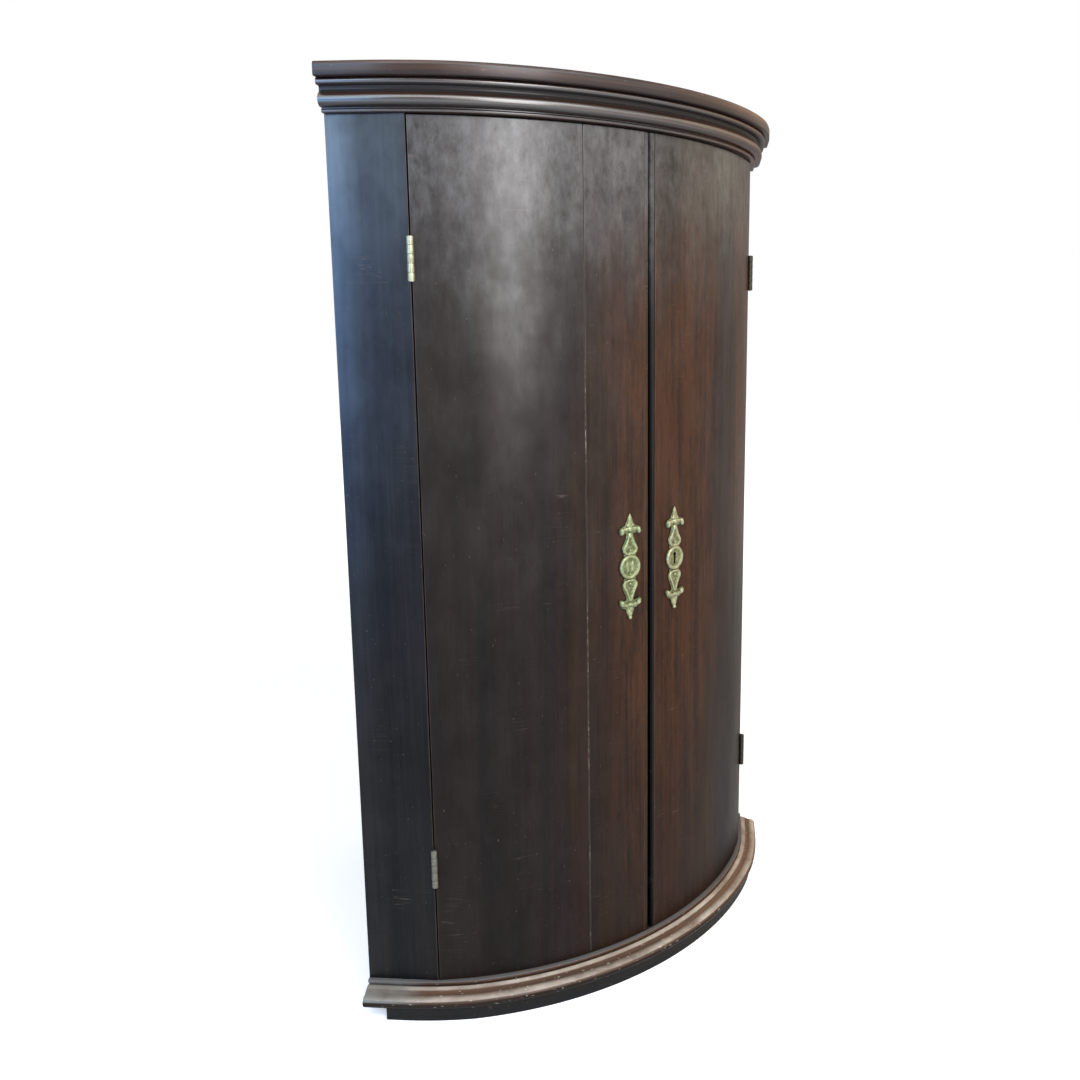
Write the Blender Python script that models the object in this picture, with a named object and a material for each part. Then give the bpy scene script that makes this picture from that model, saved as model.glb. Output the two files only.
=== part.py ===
"""Bow-front hanging corner cupboard: a quadrant carcase for the corner of a room, closed by a pair of
bowed doors between two stiles that stand square to the walls, under a moulded cornice."""

from math import acos, cos, hypot, pi, radians, sin, sqrt, tan

import bmesh
import bpy
from mathutils import Matrix, Vector

OBJECT_NAME = "corner_cupboard"

# Clearances
SEAT_GAP = 0.0003
CUT_OVERRUN = 0.004
SLIDE_CLEARANCE = 0.0004

# Plan of the front: an arc between two flat stiles, each square to its wall
BOW_RADIUS = 0.434
BOW_HALF_ANGLE = radians(36.5)
BOW_STEPS = 24
WALL_ANGLE = radians(45)
STILE_WIDTH = 0.084
STILE_THICKNESS = 0.020

# Heights, from the ground up
PLINTH_THICKNESS = 0.017
PLINTH_PROJECTION = 0.021
PLINTH_WALL_INSET = 0.026
BASE_MOULD_HEIGHT = 0.0225
OPENING_HEIGHT = 0.980
BED_MOULD_HEIGHT = 0.0312
CAP_THICKNESS = 0.0145

# Carcase boards
WALL_BOARD_THICKNESS = 0.012
WALL_BOARD_SHARES = (0.36, 0.33, 0.31)
BOARD_JOINT = 0.0006
END_BOARD_THICKNESS = 0.016
DOOR_STOP_LAP = 0.010
RAIL_THICKNESS = 0.020
BLOCK_LENGTH = 0.036
BLOCK_HEIGHT = 0.022
BLOCK_DEPTH = 0.018
BLOCK_ANGLES = (radians(-28), radians(-10), radians(10), radians(28))

# Shelves
SHELF_COUNT = 3
SHELF_THICKNESS = 0.014
SHELF_SETBACK = 0.022
SHELF_WAVE = 0.028
SHELF_STEPS = 36
BEARER_SECTION = 0.018
BEARER_LENGTH = 0.300
BEARER_FRONT_INSET = 0.060

# Cornice cap: a strip with a small lower round and a full upper one
CAP_PROJECTION = 0.0263
CAP_LOWER_ROUND = 0.0015
CAP_UPPER_ROUND_OUT = 0.0045
CAP_UPPER_ROUND_UP = 0.0045

# Cornice bed mould, from the bottom up: bead, roll, cove, fillet
BED_BEAD_RADIUS = 0.0020
BED_BEAD_PROJECTION = 0.0075
BED_QUIRK_PROJECTION = 0.0062
BED_ROLL_RADIUS = 0.0062
BED_ROLL_PROJECTION = 0.0162
BED_ROLL_END_ANGLE = radians(50)
BED_COVE_PROJECTION = 0.0130
BED_COVE_START = 0.0170
BED_FILLET_PROJECTION = 0.0205
BED_FILLET_HEIGHT = 0.0066

# Base mould, from the top down: fillet, quirk, ogee, nose
BASE_FILLET_PROJECTION = 0.0055
BASE_FILLET_HEIGHT = 0.0032
BASE_QUIRK_PROJECTION = 0.0046
BASE_QUIRK_HEIGHT = 0.0013
BASE_OGEE_START = 0.0062
BASE_OGEE_END = 0.0246
BASE_OGEE_DROP = 0.0104
BASE_OGEE_SHARE = 0.75
BASE_NOSE_RADIUS = 0.0033
BASE_FOOT_PROJECTION = 0.0240
ARC_STEPS = 5

# Doors
DOOR_THICKNESS = 0.020
DOOR_GAP = 0.0015
MEETING_GAP = 0.0020
MEETING_GAP_FOOT = 0.0055
LEFT_BEAD_WIDTH = 0.0055
RIGHT_BEAD_WIDTH = 0.0085
BEAD_STEPS = 6
BEAD_QUIRK_DEPTH = 0.0012
INNER_STAVE_EDGE = 0.088
STAVE_JOINT = 0.0003

# Butt hinges
HINGE_LENGTH = 0.046
HINGE_INSET = 0.145
HINGE_KNUCKLES = 5
KNUCKLE_GAP = 0.0003
BARREL_RADIUS = 0.0037
BARREL_PROUD = 0.0022
BARREL_SIDES = 20
NOTCH_CLEARANCE = 0.0004
LEAF_THICKNESS = 0.0018
LEAF_DEPTH = 0.0155
LEAF_SPLIT = 0.0003
PIN_RADIUS = 0.0015
PIN_CLEARANCE = 0.0003
PIN_PROUD = 0.0006

# Escutcheons
PLATE_CENTRE_HEIGHT = 0.484
PLATE_HALF_LENGTH = 0.0645
PLATE_HALF_WIDTH = 0.0155
PLATE_THICKNESS = 0.0016
PLATE_EDGE_ROUND = 0.0005
LEFT_PLATE_OFFSET = 0.030
RIGHT_PLATE_OFFSET = 0.043
RING_HALF_HEIGHT = 0.0150
RING_HALF_WIDTH = 0.0152
RING_WIRE = 0.0024
PETAL_HALF_HEIGHT = 0.0076
PETAL_HALF_WIDTH = 0.0027
PETAL_RISE = 0.0027
PETAL_OFFSET = 0.0037
LEAF_HALF_HEIGHT = 0.0130
LEAF_HALF_WIDTH = 0.0098
LEAF_RISE = 0.0032
LEAF_CENTRE = 0.0270
HOLLOW_HALF_HEIGHT = 0.0088
HOLLOW_HALF_WIDTH = 0.0062
HOLLOW_HALF_DEPTH = 0.0030
HOLLOW_HEIGHT = 0.0042
LEAF_BEAD_RADIUS = 0.0021
LEAF_BEAD_HEIGHT = 0.0205
LOBE_HALF_WIDTH = 0.0034
LOBE_HALF_HEIGHT = 0.0050
LOBE_RISE = 0.0040
LOBE_OFFSET = 0.0121
LOBE_CENTRE = 0.0437
BAR_RADIUS = 0.0025
BAR_LENGTH = 0.0220
BAR_HEIGHT = 0.0461
SPIRE_FOOT_RADIUS = 0.0058
SPIRE_TIP_RADIUS = 0.0009
SPIRE_LENGTH = 0.0178
TAIL_FOOT_RADIUS = 0.0066
TAIL_TIP_RADIUS = 0.0023
TAIL_LENGTH = 0.0150
TAIL_BALL_RADIUS = 0.0026
KEYHOLE_WIDTH = 0.0036
KEYHOLE_HEAD_RADIUS = 0.0028
KEYHOLE_HEIGHT = 0.0150

# Lock on the right door
LOCK_WIDTH = 0.062
LOCK_HEIGHT = 0.044
LOCK_THICKNESS = 0.0128
LOCK_RECESS = 0.0025
LOCK_EDGE_INSET = 0.0008
LOCK_BOLT_THICKNESS = 0.0050
LOCK_BOLT_HEIGHT = 0.0120
LOCK_BOLT_LENGTH = 0.026
LOCK_BOLT_THROW = 0.0100
LOCK_KEYHOLE_DEPTH = 0.0060
LOCK_BACK_WALL = 0.0020
KEEPER_WIDTH = 0.011
KEEPER_EDGE_INSET = 0.0012
KEEPER_HEIGHT = 0.024
KEEPER_WALL = 0.0024
KEEPER_STANDOFF = 0.0007

# Slide bolts on the left door
BOLT_OFFSET = 0.032
BOLT_RADIUS = 0.0030
BOLT_LENGTH = 0.092
BOLT_THROW = 0.014
BOLT_TIP_CLEARANCE = 0.0025
BOLT_HOLE_CLEARANCE = 0.0005
BOLT_SIDES = 16
BOLT_PLATE_WIDTH = 0.022
BOLT_PLATE_LENGTH = 0.078
BOLT_PLATE_THICKNESS = 0.0020
BOLT_PLATE_INSET = 0.010
GUIDE_LENGTH = 0.012
GUIDE_WALL = 0.0022
GUIDE_END_INSET = 0.004
KNOB_RADIUS = 0.0042
KNOB_LENGTH = 0.009

# Worked out from the sizes above
OPENING_FLOOR = PLINTH_THICKNESS + SEAT_GAP + BASE_MOULD_HEIGHT
OPENING_TOP = OPENING_FLOOR + OPENING_HEIGHT
CARCASE_TOP = OPENING_TOP + BED_MOULD_HEIGHT
CAP_BOTTOM = CARCASE_TOP + SEAT_GAP
TOTAL_HEIGHT = CAP_BOTTOM + CAP_THICKNESS
CARCASE_FOOT = PLINTH_THICKNESS + SEAT_GAP
HINGE_LINE = Vector((-BOW_RADIUS * sin(BOW_HALF_ANGLE), -BOW_RADIUS * cos(BOW_HALF_ANGLE)))
STILE_OUTWARD = Vector((-cos(WALL_ANGLE), sin(WALL_ANGLE)))
STILE_INWARD = Vector((sin(WALL_ANGLE), cos(WALL_ANGLE)))
STILE_END = HINGE_LINE + STILE_OUTWARD * STILE_WIDTH
CORNER_DEPTH = STILE_END.y - STILE_END.x / tan(WALL_ANGLE)
WALL_LENGTH = (Vector((0, CORNER_DEPTH)) - STILE_END).length
FRONT_DEPTH = BOW_RADIUS + max(CAP_PROJECTION, BASE_OGEE_END + BASE_NOSE_RADIUS)
BOW_CENTRE = Vector((0, (FRONT_DEPTH - CORNER_DEPTH) / 2))
DOOR_BACK_RADIUS = BOW_RADIUS - DOOR_THICKNESS
BOARD_FRONT_RADIUS = min(DOOR_BACK_RADIUS, BOW_RADIUS - RAIL_THICKNESS) - SEAT_GAP
DOOR_FLOOR = OPENING_FLOOR + DOOR_GAP
DOOR_TOP = OPENING_TOP - DOOR_GAP
DOOR_EDGE_ANGLE = BOW_HALF_ANGLE - DOOR_GAP / BOW_RADIUS
HINGE_ANGLE = BOW_HALF_ANGLE - DOOR_GAP / 2 / BOW_RADIUS
HINGE_RADIUS = BOW_RADIUS + BARREL_PROUD
INTERIOR_FLOOR = OPENING_FLOOR + DOOR_STOP_LAP
INTERIOR_TOP = OPENING_TOP - DOOR_STOP_LAP
PLATE_HEIGHT = OPENING_FLOOR + PLATE_CENTRE_HEIGHT
BOLT_AXIS_DEPTH = BOLT_PLATE_THICKNESS + GUIDE_WALL + BOLT_RADIUS


# Scene, collections and materials

def cleared_collection(name):
    """A new collection of this name in an emptied scene."""
    for old in list(bpy.data.objects):
        bpy.data.objects.remove(old, do_unlink=True)
    return new_collection(name)


def new_collection(name):
    made = bpy.data.collections.new(name)
    bpy.context.scene.collection.children.link(made)
    return made


PARTS = cleared_collection(OBJECT_NAME)
CUTTERS = new_collection("cutters")


def finish(name, colour, roughness, metallic=0.0):
    """A Principled material of one colour."""
    made = bpy.data.materials.new(name)
    made.use_nodes = True
    shader = made.node_tree.nodes["Principled BSDF"]
    shader.inputs["Base Color"].default_value = (*colour, 1.0)
    shader.inputs["Roughness"].default_value = roughness
    shader.inputs["Metallic"].default_value = metallic
    return made


DARK_MAHOGANY = (0.040, 0.022, 0.016)
RED_MAHOGANY = (0.085, 0.032, 0.020)
WORN_MAHOGANY = (0.150, 0.075, 0.048)
OLD_PINE = (0.330, 0.210, 0.110)
AGED_BRASS = (0.420, 0.430, 0.260)
OLD_IRON = (0.090, 0.080, 0.075)


# Plan geometry: points on the floor plan, measured from the centre of the bow

def on_bow(angle, radius=BOW_RADIUS):
    """The plan point at this angle from straight ahead, positive to the right."""
    return Vector((radius * sin(angle), -radius * cos(angle)))


def arc_angles(start, end):
    """Start, end, and every shared station of the bow between them, so that arcs that touch have like facets."""
    step = 2 * BOW_HALF_ANGLE / BOW_STEPS
    margin = step / 4
    stations = [-BOW_HALF_ANGLE + step * i for i in range(BOW_STEPS + 1)]
    return [start] + [a for a in stations if start + margin < a < end - margin] + [end]


def arc(radius, start, end):
    return [on_bow(angle, radius) for angle in arc_angles(start, end)]


def mirrored(points):
    """The points turned over to the other side of the cupboard, in the opposite order."""
    return [Vector((-p.x, p.y)) for p in reversed(points)]


def bow_sector(outer, inner, start, end):
    """Outline of a curved board between two radii and two angles."""
    return arc(outer, start, end) + list(reversed(arc(inner, start, end)))


def front_path():
    """The line of the front from wall to wall: left stile, bow, right stile."""
    bow = arc(BOW_RADIUS, -BOW_HALF_ANGLE, BOW_HALF_ANGLE)
    return [STILE_END] + bow + [Vector((-STILE_END.x, STILE_END.y))]


def along_until_radius(start, direction, radius):
    """Where a line from start first comes within this radius of the centre of the bow."""
    reach = start.dot(direction)
    miss = start.length_squared - reach * reach
    return start + direction * (-reach - sqrt(radius * radius - miss))


def wall_line(inset):
    """A point on the left wall's plane moved inwards, and the direction to the back corner."""
    return STILE_END - STILE_OUTWARD * inset, STILE_INWARD


def back_corner(inset):
    """Where the two wall planes, each moved inwards, meet."""
    return Vector((0, CORNER_DEPTH - inset / sin(WALL_ANGLE)))


# Objects

def adopt(made, material, collection=None):
    """Links a new object and gives it its material."""
    (collection or PARTS).objects.link(made)
    if material:
        made.data.materials.append(material)
    return made


def in_world(point, height):
    return (BOW_CENTRE.x + point.x, BOW_CENTRE.y + point.y, height)


def outline_curve(name, points):
    """A closed flat curve through these points."""
    curve = bpy.data.curves.new(name, "CURVE")
    curve.dimensions = "2D"
    curve.fill_mode = "BOTH"
    spline = curve.splines.new("POLY")
    spline.points.add(len(points) - 1)
    for slot, point in zip(spline.points, points):
        slot.co = (point[0], point[1], 0, 1)
    spline.use_cyclic_u = True
    return curve


def slab(name, points, floor, top, material):
    """A board cut to an outline on the plan, standing between two heights."""
    curve = outline_curve(name, points)
    curve.extrude = (top - floor) / 2
    made = adopt(bpy.data.objects.new(name, curve), material)
    made.location = in_world(Vector((0, 0)), (floor + top) / 2)
    return made


def as_mesh(made):
    """The same object as a welded mesh, which can be cut and joined."""
    bpy.context.view_layer.update()
    graph = bpy.context.evaluated_depsgraph_get()
    mesh = bpy.data.meshes.new_from_object(made.evaluated_get(graph))
    work = bmesh.new()
    work.from_mesh(mesh)
    bmesh.ops.remove_doubles(work, verts=work.verts, dist=WELD_DISTANCE)
    bmesh.ops.recalc_face_normals(work, faces=work.faces)
    work.to_mesh(mesh)
    work.free()
    name, matrix = made.name, made.matrix_world.copy()
    homes = list(made.users_collection)
    materials = [m for m in made.data.materials]
    bpy.data.objects.remove(made)
    solid = bpy.data.objects.new(name, mesh)
    solid.matrix_world = matrix
    for home in homes:
        home.objects.link(solid)
    mesh.materials.clear()
    for material in materials:
        mesh.materials.append(material)
    return solid


WELD_DISTANCE = 0.000002


def block(name, size, matrix, material=None, collection=None):
    """A box of this size about the matrix's origin, which stays the object's own."""
    work = bmesh.new()
    bmesh.ops.create_cube(work, size=1, matrix=Matrix.Diagonal((*size, 1)))
    mesh = bpy.data.meshes.new(name)
    work.to_mesh(mesh)
    work.free()
    made = adopt(bpy.data.objects.new(name, mesh), material, collection)
    made.matrix_world = matrix
    return made


def rod(name, radius, length, matrix, material=None, sides=BARREL_SIDES, collection=None):
    """A cylinder of this length along its own Z, about the matrix's origin."""
    work = bmesh.new()
    bmesh.ops.create_cone(
        work, cap_ends=True, segments=sides, radius1=radius, radius2=radius, depth=length
    )
    mesh = bpy.data.meshes.new(name)
    work.to_mesh(mesh)
    work.free()
    mesh.shade_smooth()
    mesh.set_sharp_from_angle(angle=SMOOTH_ANGLE)
    made = adopt(bpy.data.objects.new(name, mesh), material, collection)
    made.matrix_world = matrix
    return made


SMOOTH_ANGLE = radians(40)


def dome(name, radii, matrix, taper=0):
    """An ellipsoid with these three half-sizes, narrowed towards +Y by the taper, to raise or hollow a plate."""
    work = bmesh.new()
    bmesh.ops.create_uvsphere(work, u_segments=12, v_segments=8, radius=1, matrix=Matrix.Diagonal((*radii, 1)))
    for vertex in work.verts:
        vertex.co.x *= 1 - taper * vertex.co.y / radii[1]
    mesh = bpy.data.meshes.new(name)
    work.to_mesh(mesh)
    work.free()
    made = adopt(bpy.data.objects.new(name, mesh), None, CUTTERS)
    made.matrix_world = matrix
    return made


SPIKE_SIDES = 12
SPIKE_FLATNESS = 0.5


def spike(name, foot_radius, tip_radius, length, matrix):
    """A cone with a blunt tip, along its own Z from the matrix's origin, flattened along its own Y."""
    work = bmesh.new()
    bmesh.ops.create_cone(
        work,
        cap_ends=True,
        segments=SPIKE_SIDES,
        radius1=foot_radius,
        radius2=tip_radius,
        depth=length,
        matrix=Matrix.Diagonal((1, SPIKE_FLATNESS, 1, 1)) @ shift(z=length / 2),
    )
    mesh = bpy.data.meshes.new(name)
    work.to_mesh(mesh)
    work.free()
    made = adopt(bpy.data.objects.new(name, mesh), None, CUTTERS)
    made.matrix_world = matrix
    return made


def ring(name, half_width, half_height, wire, matrix):
    """An oval ring of round wire, lying in its own XY plane."""
    bpy.ops.mesh.primitive_torus_add(
        major_radius=half_height - wire, minor_radius=wire, major_segments=28, minor_segments=8
    )
    made = bpy.context.object
    made.name = name
    narrowing = (half_width - wire) / (half_height - wire)
    made.data.transform(Matrix.Diagonal((narrowing, 1, 1, 1)))
    for home in list(made.users_collection):
        home.objects.unlink(made)
    CUTTERS.objects.link(made)
    made.matrix_world = matrix
    return made


def combine(target, tools, operation):
    """Applies a Boolean with each tool in turn and removes the tools."""
    for tool in tools:
        modifier = target.modifiers.new(operation.lower(), "BOOLEAN")
        modifier.operation = operation
        modifier.solver = "EXACT"
        modifier.object = tool
    bpy.context.view_layer.update()
    graph = bpy.context.evaluated_depsgraph_get()
    mesh = bpy.data.meshes.new_from_object(target.evaluated_get(graph))
    old = target.data
    target.modifiers.clear()
    target.data = mesh
    mesh.name = target.name
    bpy.data.meshes.remove(old)
    mesh.shade_smooth()
    mesh.set_sharp_from_angle(angle=SMOOTH_ANGLE)
    for tool in tools:
        bpy.data.objects.remove(tool)
    return target


def cut(target, tools):
    return combine(target, tools, "DIFFERENCE")


def join(target, tools):
    return combine(target, tools, "UNION")


def shift(x=0.0, y=0.0, z=0.0):
    return Matrix.Translation((x, y, z))


def facing_out(angle, radius, height):
    """A frame on the bow: X along the front to the right, Y up, Z straight out of the front."""
    across = Vector((cos(angle), sin(angle), 0))
    up = Vector((0, 0, 1))
    out = across.cross(up)
    turn = Matrix((across, up, out)).transposed().to_4x4()
    return Matrix.Translation(in_world(on_bow(angle, radius), height)) @ turn


# A rod lies along its Z, so this turn lays it along the Y of a frame on the bow.
ALONG_Y = Matrix.Rotation(radians(-90), 4, "X")
ALONG_X = Matrix.Rotation(radians(90), 4, "Y")
TURNED_OVER = Matrix.Rotation(pi, 4, "Z")


def swept(name, profile, material):
    """A moulding: a closed profile of (projection, height) points carried along the front from wall to wall."""
    section = bpy.data.objects.new(name + "_section", outline_curve(name + "_section", profile))
    adopt(section, None, CUTTERS)
    section.data.fill_mode = "NONE"
    section.hide_render = True
    section.display_type = "WIRE"
    curve = bpy.data.curves.new(name, "CURVE")
    curve.dimensions = "2D"
    curve.fill_mode = "NONE"
    curve.bevel_mode = "OBJECT"
    curve.bevel_object = section
    curve.use_fill_caps = True
    path = front_path()
    spline = curve.splines.new("POLY")
    spline.points.add(len(path) - 1)
    for slot, point in zip(spline.points, path):
        slot.co = (point.x, point.y, 0, 1)
    made = adopt(bpy.data.objects.new(name, curve), material)
    made.location = in_world(Vector((0, 0)), 0)
    solid = as_mesh(made)
    bpy.data.objects.remove(section)
    solid.data.shade_smooth()
    solid.data.set_sharp_from_angle(angle=SMOOTH_ANGLE)
    return solid


def round_points(centre, radius_out, radius_up, start, end, steps=ARC_STEPS):
    """Points on an elliptical arc of a moulding's profile, angles measured from straight out."""
    turns = [start + (end - start) * i / steps for i in range(steps + 1)]
    return [(centre[0] + radius_out * cos(t), centre[1] + radius_up * sin(t)) for t in turns]


# Carcase

def make_plinth():
    """The base board: the plan of the front pushed out, cut back from both walls."""
    face = BOW_RADIUS + PLINTH_PROJECTION
    push = STILE_INWARD * -PLINTH_PROJECTION
    wall_point, wall_way = wall_line(PLINTH_WALL_INSET)
    front_left = STILE_END - STILE_OUTWARD * PLINTH_WALL_INSET + push
    left = [back_corner(PLINTH_WALL_INSET), front_left]
    bow = arc(face, -BOW_HALF_ANGLE, BOW_HALF_ANGLE)
    outline = left + bow + [Vector((-front_left.x, front_left.y))]
    return slab("plinth_board", outline, 0, PLINTH_THICKNESS, finish("plinth_wood", DARK_MAHOGANY, 0.6))


def make_stiles():
    """Flat uprights, their inner edges planed to meet the ends of the bow."""
    inward = Vector((sin(BOW_HALF_ANGLE), cos(BOW_HALF_ANGLE)))
    slant = STILE_THICKNESS / inward.dot(STILE_INWARD)
    outline = [
        STILE_END,
        STILE_END + STILE_INWARD * STILE_THICKNESS,
        HINGE_LINE + inward * slant,
        HINGE_LINE,
    ]
    left = slab("left_stile", outline, CARCASE_FOOT, CARCASE_TOP, finish("left_stile_wood", DARK_MAHOGANY, 0.35))
    right = slab(
        "right_stile", mirrored(outline), CARCASE_FOOT, CARCASE_TOP, finish("right_stile_wood", DARK_MAHOGANY, 0.35)
    )
    return {"left": as_mesh(left), "right": as_mesh(right)}


def make_wall_boards():
    """Upright boards behind each stile; the right side's last board butts against the left side."""
    for side, sign in (("left", 1), ("right", -1)):
        start = STILE_THICKNESS + SEAT_GAP
        end = WALL_LENGTH if side == "left" else WALL_LENGTH - WALL_BOARD_THICKNESS - SEAT_GAP
        total = end - start
        for name, share in zip(("front", "middle", "corner"), WALL_BOARD_SHARES):
            width = total * share - BOARD_JOINT
            middle = STILE_END + STILE_INWARD * (start + width / 2)
            middle -= STILE_OUTWARD * (WALL_BOARD_THICKNESS / 2)
            place = in_world(Vector((sign * middle.x, middle.y)), (CARCASE_FOOT + CARCASE_TOP) / 2)
            turn = Matrix.Rotation(sign * (pi / 2 - WALL_ANGLE), 4, "Z")
            block(
                f"{side}_wall_board_{name}",
                (width, WALL_BOARD_THICKNESS, CARCASE_TOP - CARCASE_FOOT),
                Matrix.Translation(place) @ turn,
                finish(f"{side}_wall_board_{name}_wood", OLD_PINE, 0.8),
            )
            start += width + BOARD_JOINT


def end_board_outline():
    """Plan of the top and bottom boards: inside the walls, behind the stiles, up to the backs of the doors."""
    wall_inset = WALL_BOARD_THICKNESS + SEAT_GAP
    wall_point, wall_way = wall_line(wall_inset)
    behind_stile = wall_point + wall_way * (STILE_THICKNESS + SEAT_GAP)
    far = behind_stile - STILE_OUTWARD * (2 * STILE_WIDTH)
    near = along_until_radius(far, STILE_OUTWARD, BOARD_FRONT_RADIUS)
    start = -acos(-near.y / BOARD_FRONT_RADIUS)
    front = arc(BOARD_FRONT_RADIUS, start, -start)
    return [back_corner(wall_inset), behind_stile] + front + [Vector((-behind_stile.x, behind_stile.y))]


def make_end_boards():
    """Top and bottom boards, which lap behind the doors and so stop them, bored for the slide bolts."""
    outline = end_board_outline()
    bottom = slab(
        "bottom_board",
        outline,
        INTERIOR_FLOOR - END_BOARD_THICKNESS,
        INTERIOR_FLOOR,
        finish("bottom_board_wood", OLD_PINE, 0.7),
    )
    top = slab(
        "top_board", outline, INTERIOR_TOP, INTERIOR_TOP + END_BOARD_THICKNESS, finish("top_board_wood", OLD_PINE, 0.7)
    )
    for board, height in ((bottom, INTERIOR_FLOOR), (top, INTERIOR_TOP)):
        frame = bolt_frame(height)
        hole = rod(
            "bolt_hole",
            BOLT_RADIUS + BOLT_HOLE_CLEARANCE,
            4 * END_BOARD_THICKNESS,
            frame @ shift(z=-BOLT_AXIS_DEPTH) @ ALONG_Y,
            sides=BOLT_SIDES,
            collection=CUTTERS,
        )
        cut(as_mesh(board), [hole])


def make_rails():
    """Curved rails between the stiles, over and under the doors, with glue blocks behind the head rail."""
    end = BOW_HALF_ANGLE - SEAT_GAP / (BOW_RADIUS - RAIL_THICKNESS)
    outline = bow_sector(BOW_RADIUS, BOW_RADIUS - RAIL_THICKNESS, -end, end)
    slab("base_rail", outline, CARCASE_FOOT, OPENING_FLOOR, finish("base_rail_wood", OLD_PINE, 0.7))
    slab("head_rail", outline, OPENING_TOP, CARCASE_TOP, finish("head_rail_wood", OLD_PINE, 0.7))
    sag = BLOCK_LENGTH**2 / 8 / (BOW_RADIUS - RAIL_THICKNESS)
    floor = INTERIOR_TOP + END_BOARD_THICKNESS + SEAT_GAP
    for number, angle in enumerate(BLOCK_ANGLES, 1):
        frame = facing_out(angle, BOW_RADIUS - RAIL_THICKNESS - SEAT_GAP - sag, floor + BLOCK_HEIGHT / 2)
        block(
            f"glue_block_{number}",
            (BLOCK_LENGTH, BLOCK_HEIGHT, BLOCK_DEPTH),
            frame @ shift(z=-BLOCK_DEPTH / 2),
            finish(f"glue_block_{number}_wood", OLD_PINE, 0.8),
        )


def shelf_outline():
    """Plan of a shelf: inside the walls, with a front edge that swells in the middle and at both ends."""
    radius = DOOR_BACK_RADIUS - SHELF_SETBACK
    wall_point, wall_way = wall_line(WALL_BOARD_THICKNESS + SEAT_GAP)
    front_left = along_until_radius(wall_point, wall_way, radius)
    limit = acos(-front_left.y / radius)
    edge = []
    for i in range(SHELF_STEPS + 1):
        angle = limit * (2 * i / SHELF_STEPS - 1)
        dip = SHELF_WAVE * (1 - cos(2 * pi * angle / limit)) / 2
        edge.append(on_bow(angle, radius - dip))
    return [back_corner(WALL_BOARD_THICKNESS + SEAT_GAP)] + edge


def make_shelves():
    """Shaped shelves at equal heights, each on a bearer along each wall."""
    pitch = (INTERIOR_TOP - INTERIOR_FLOOR + SHELF_THICKNESS) / (SHELF_COUNT + 1)
    outline = shelf_outline()
    for number in range(1, SHELF_COUNT + 1):
        top = INTERIOR_FLOOR + number * pitch
        slab(f"shelf_{number}", outline, top - SHELF_THICKNESS, top, finish(f"shelf_{number}_wood", OLD_PINE, 0.7))
        middle = STILE_END + STILE_INWARD * (BEARER_FRONT_INSET + BEARER_LENGTH / 2)
        middle -= STILE_OUTWARD * (WALL_BOARD_THICKNESS + SEAT_GAP + BEARER_SECTION / 2)
        height = top - SHELF_THICKNESS - SEAT_GAP - BEARER_SECTION / 2
        for side, sign in (("left", 1), ("right", -1)):
            turn = Matrix.Rotation(sign * (pi / 2 - WALL_ANGLE), 4, "Z")
            place = Matrix.Translation(in_world(Vector((sign * middle.x, middle.y)), height))
            block(
                f"shelf_{number}_{side}_bearer",
                (BEARER_LENGTH, BEARER_SECTION, BEARER_SECTION),
                place @ turn,
                finish(f"shelf_{number}_{side}_bearer_wood", OLD_PINE, 0.8),
            )


# Mouldings

def make_cornice():
    """The bed mould against the head of the carcase, and the cap that covers it."""
    floor = OPENING_TOP
    bead = (BED_BEAD_PROJECTION - BED_BEAD_RADIUS, floor + BED_BEAD_RADIUS)
    roll_floor = floor + 2 * BED_BEAD_RADIUS
    roll = (BED_ROLL_PROJECTION - BED_ROLL_RADIUS, roll_floor + BED_ROLL_RADIUS)
    fillet_floor = CARCASE_TOP - BED_FILLET_HEIGHT
    cove_height = fillet_floor - floor - BED_COVE_START
    cove_out = BED_FILLET_PROJECTION - BED_COVE_PROJECTION
    cove = [
        (BED_FILLET_PROJECTION - cove_out * cos(t), floor + BED_COVE_START + cove_height * sin(t))
        for t in [pi / 2 * i / ARC_STEPS for i in range(ARC_STEPS + 1)]
    ]
    bed = (
        [(SEAT_GAP, floor)]
        + round_points(bead, BED_BEAD_RADIUS, BED_BEAD_RADIUS, -pi / 2, pi / 2)
        + [(BED_QUIRK_PROJECTION, roll_floor)]
        + round_points(roll, BED_ROLL_RADIUS, BED_ROLL_RADIUS, -pi / 2, BED_ROLL_END_ANGLE)
        + cove
        + [(BED_FILLET_PROJECTION, CARCASE_TOP), (SEAT_GAP, CARCASE_TOP)]
    )
    swept("cornice_bed_mould", bed, finish("cornice_bed_wood", DARK_MAHOGANY, 0.3))
    lower = (CAP_PROJECTION - CAP_LOWER_ROUND, CAP_BOTTOM + CAP_LOWER_ROUND)
    upper = (CAP_PROJECTION - CAP_UPPER_ROUND_OUT, TOTAL_HEIGHT - CAP_UPPER_ROUND_UP)
    cap = (
        [(-STILE_THICKNESS, CAP_BOTTOM)]
        + round_points(lower, CAP_LOWER_ROUND, CAP_LOWER_ROUND, -pi / 2, 0, 3)
        + round_points(upper, CAP_UPPER_ROUND_OUT, CAP_UPPER_ROUND_UP, 0, pi / 2)
        + [(-STILE_THICKNESS, TOTAL_HEIGHT)]
    )
    swept("cornice_cap", cap, finish("cornice_cap_wood", RED_MAHOGANY, 0.35))


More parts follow.
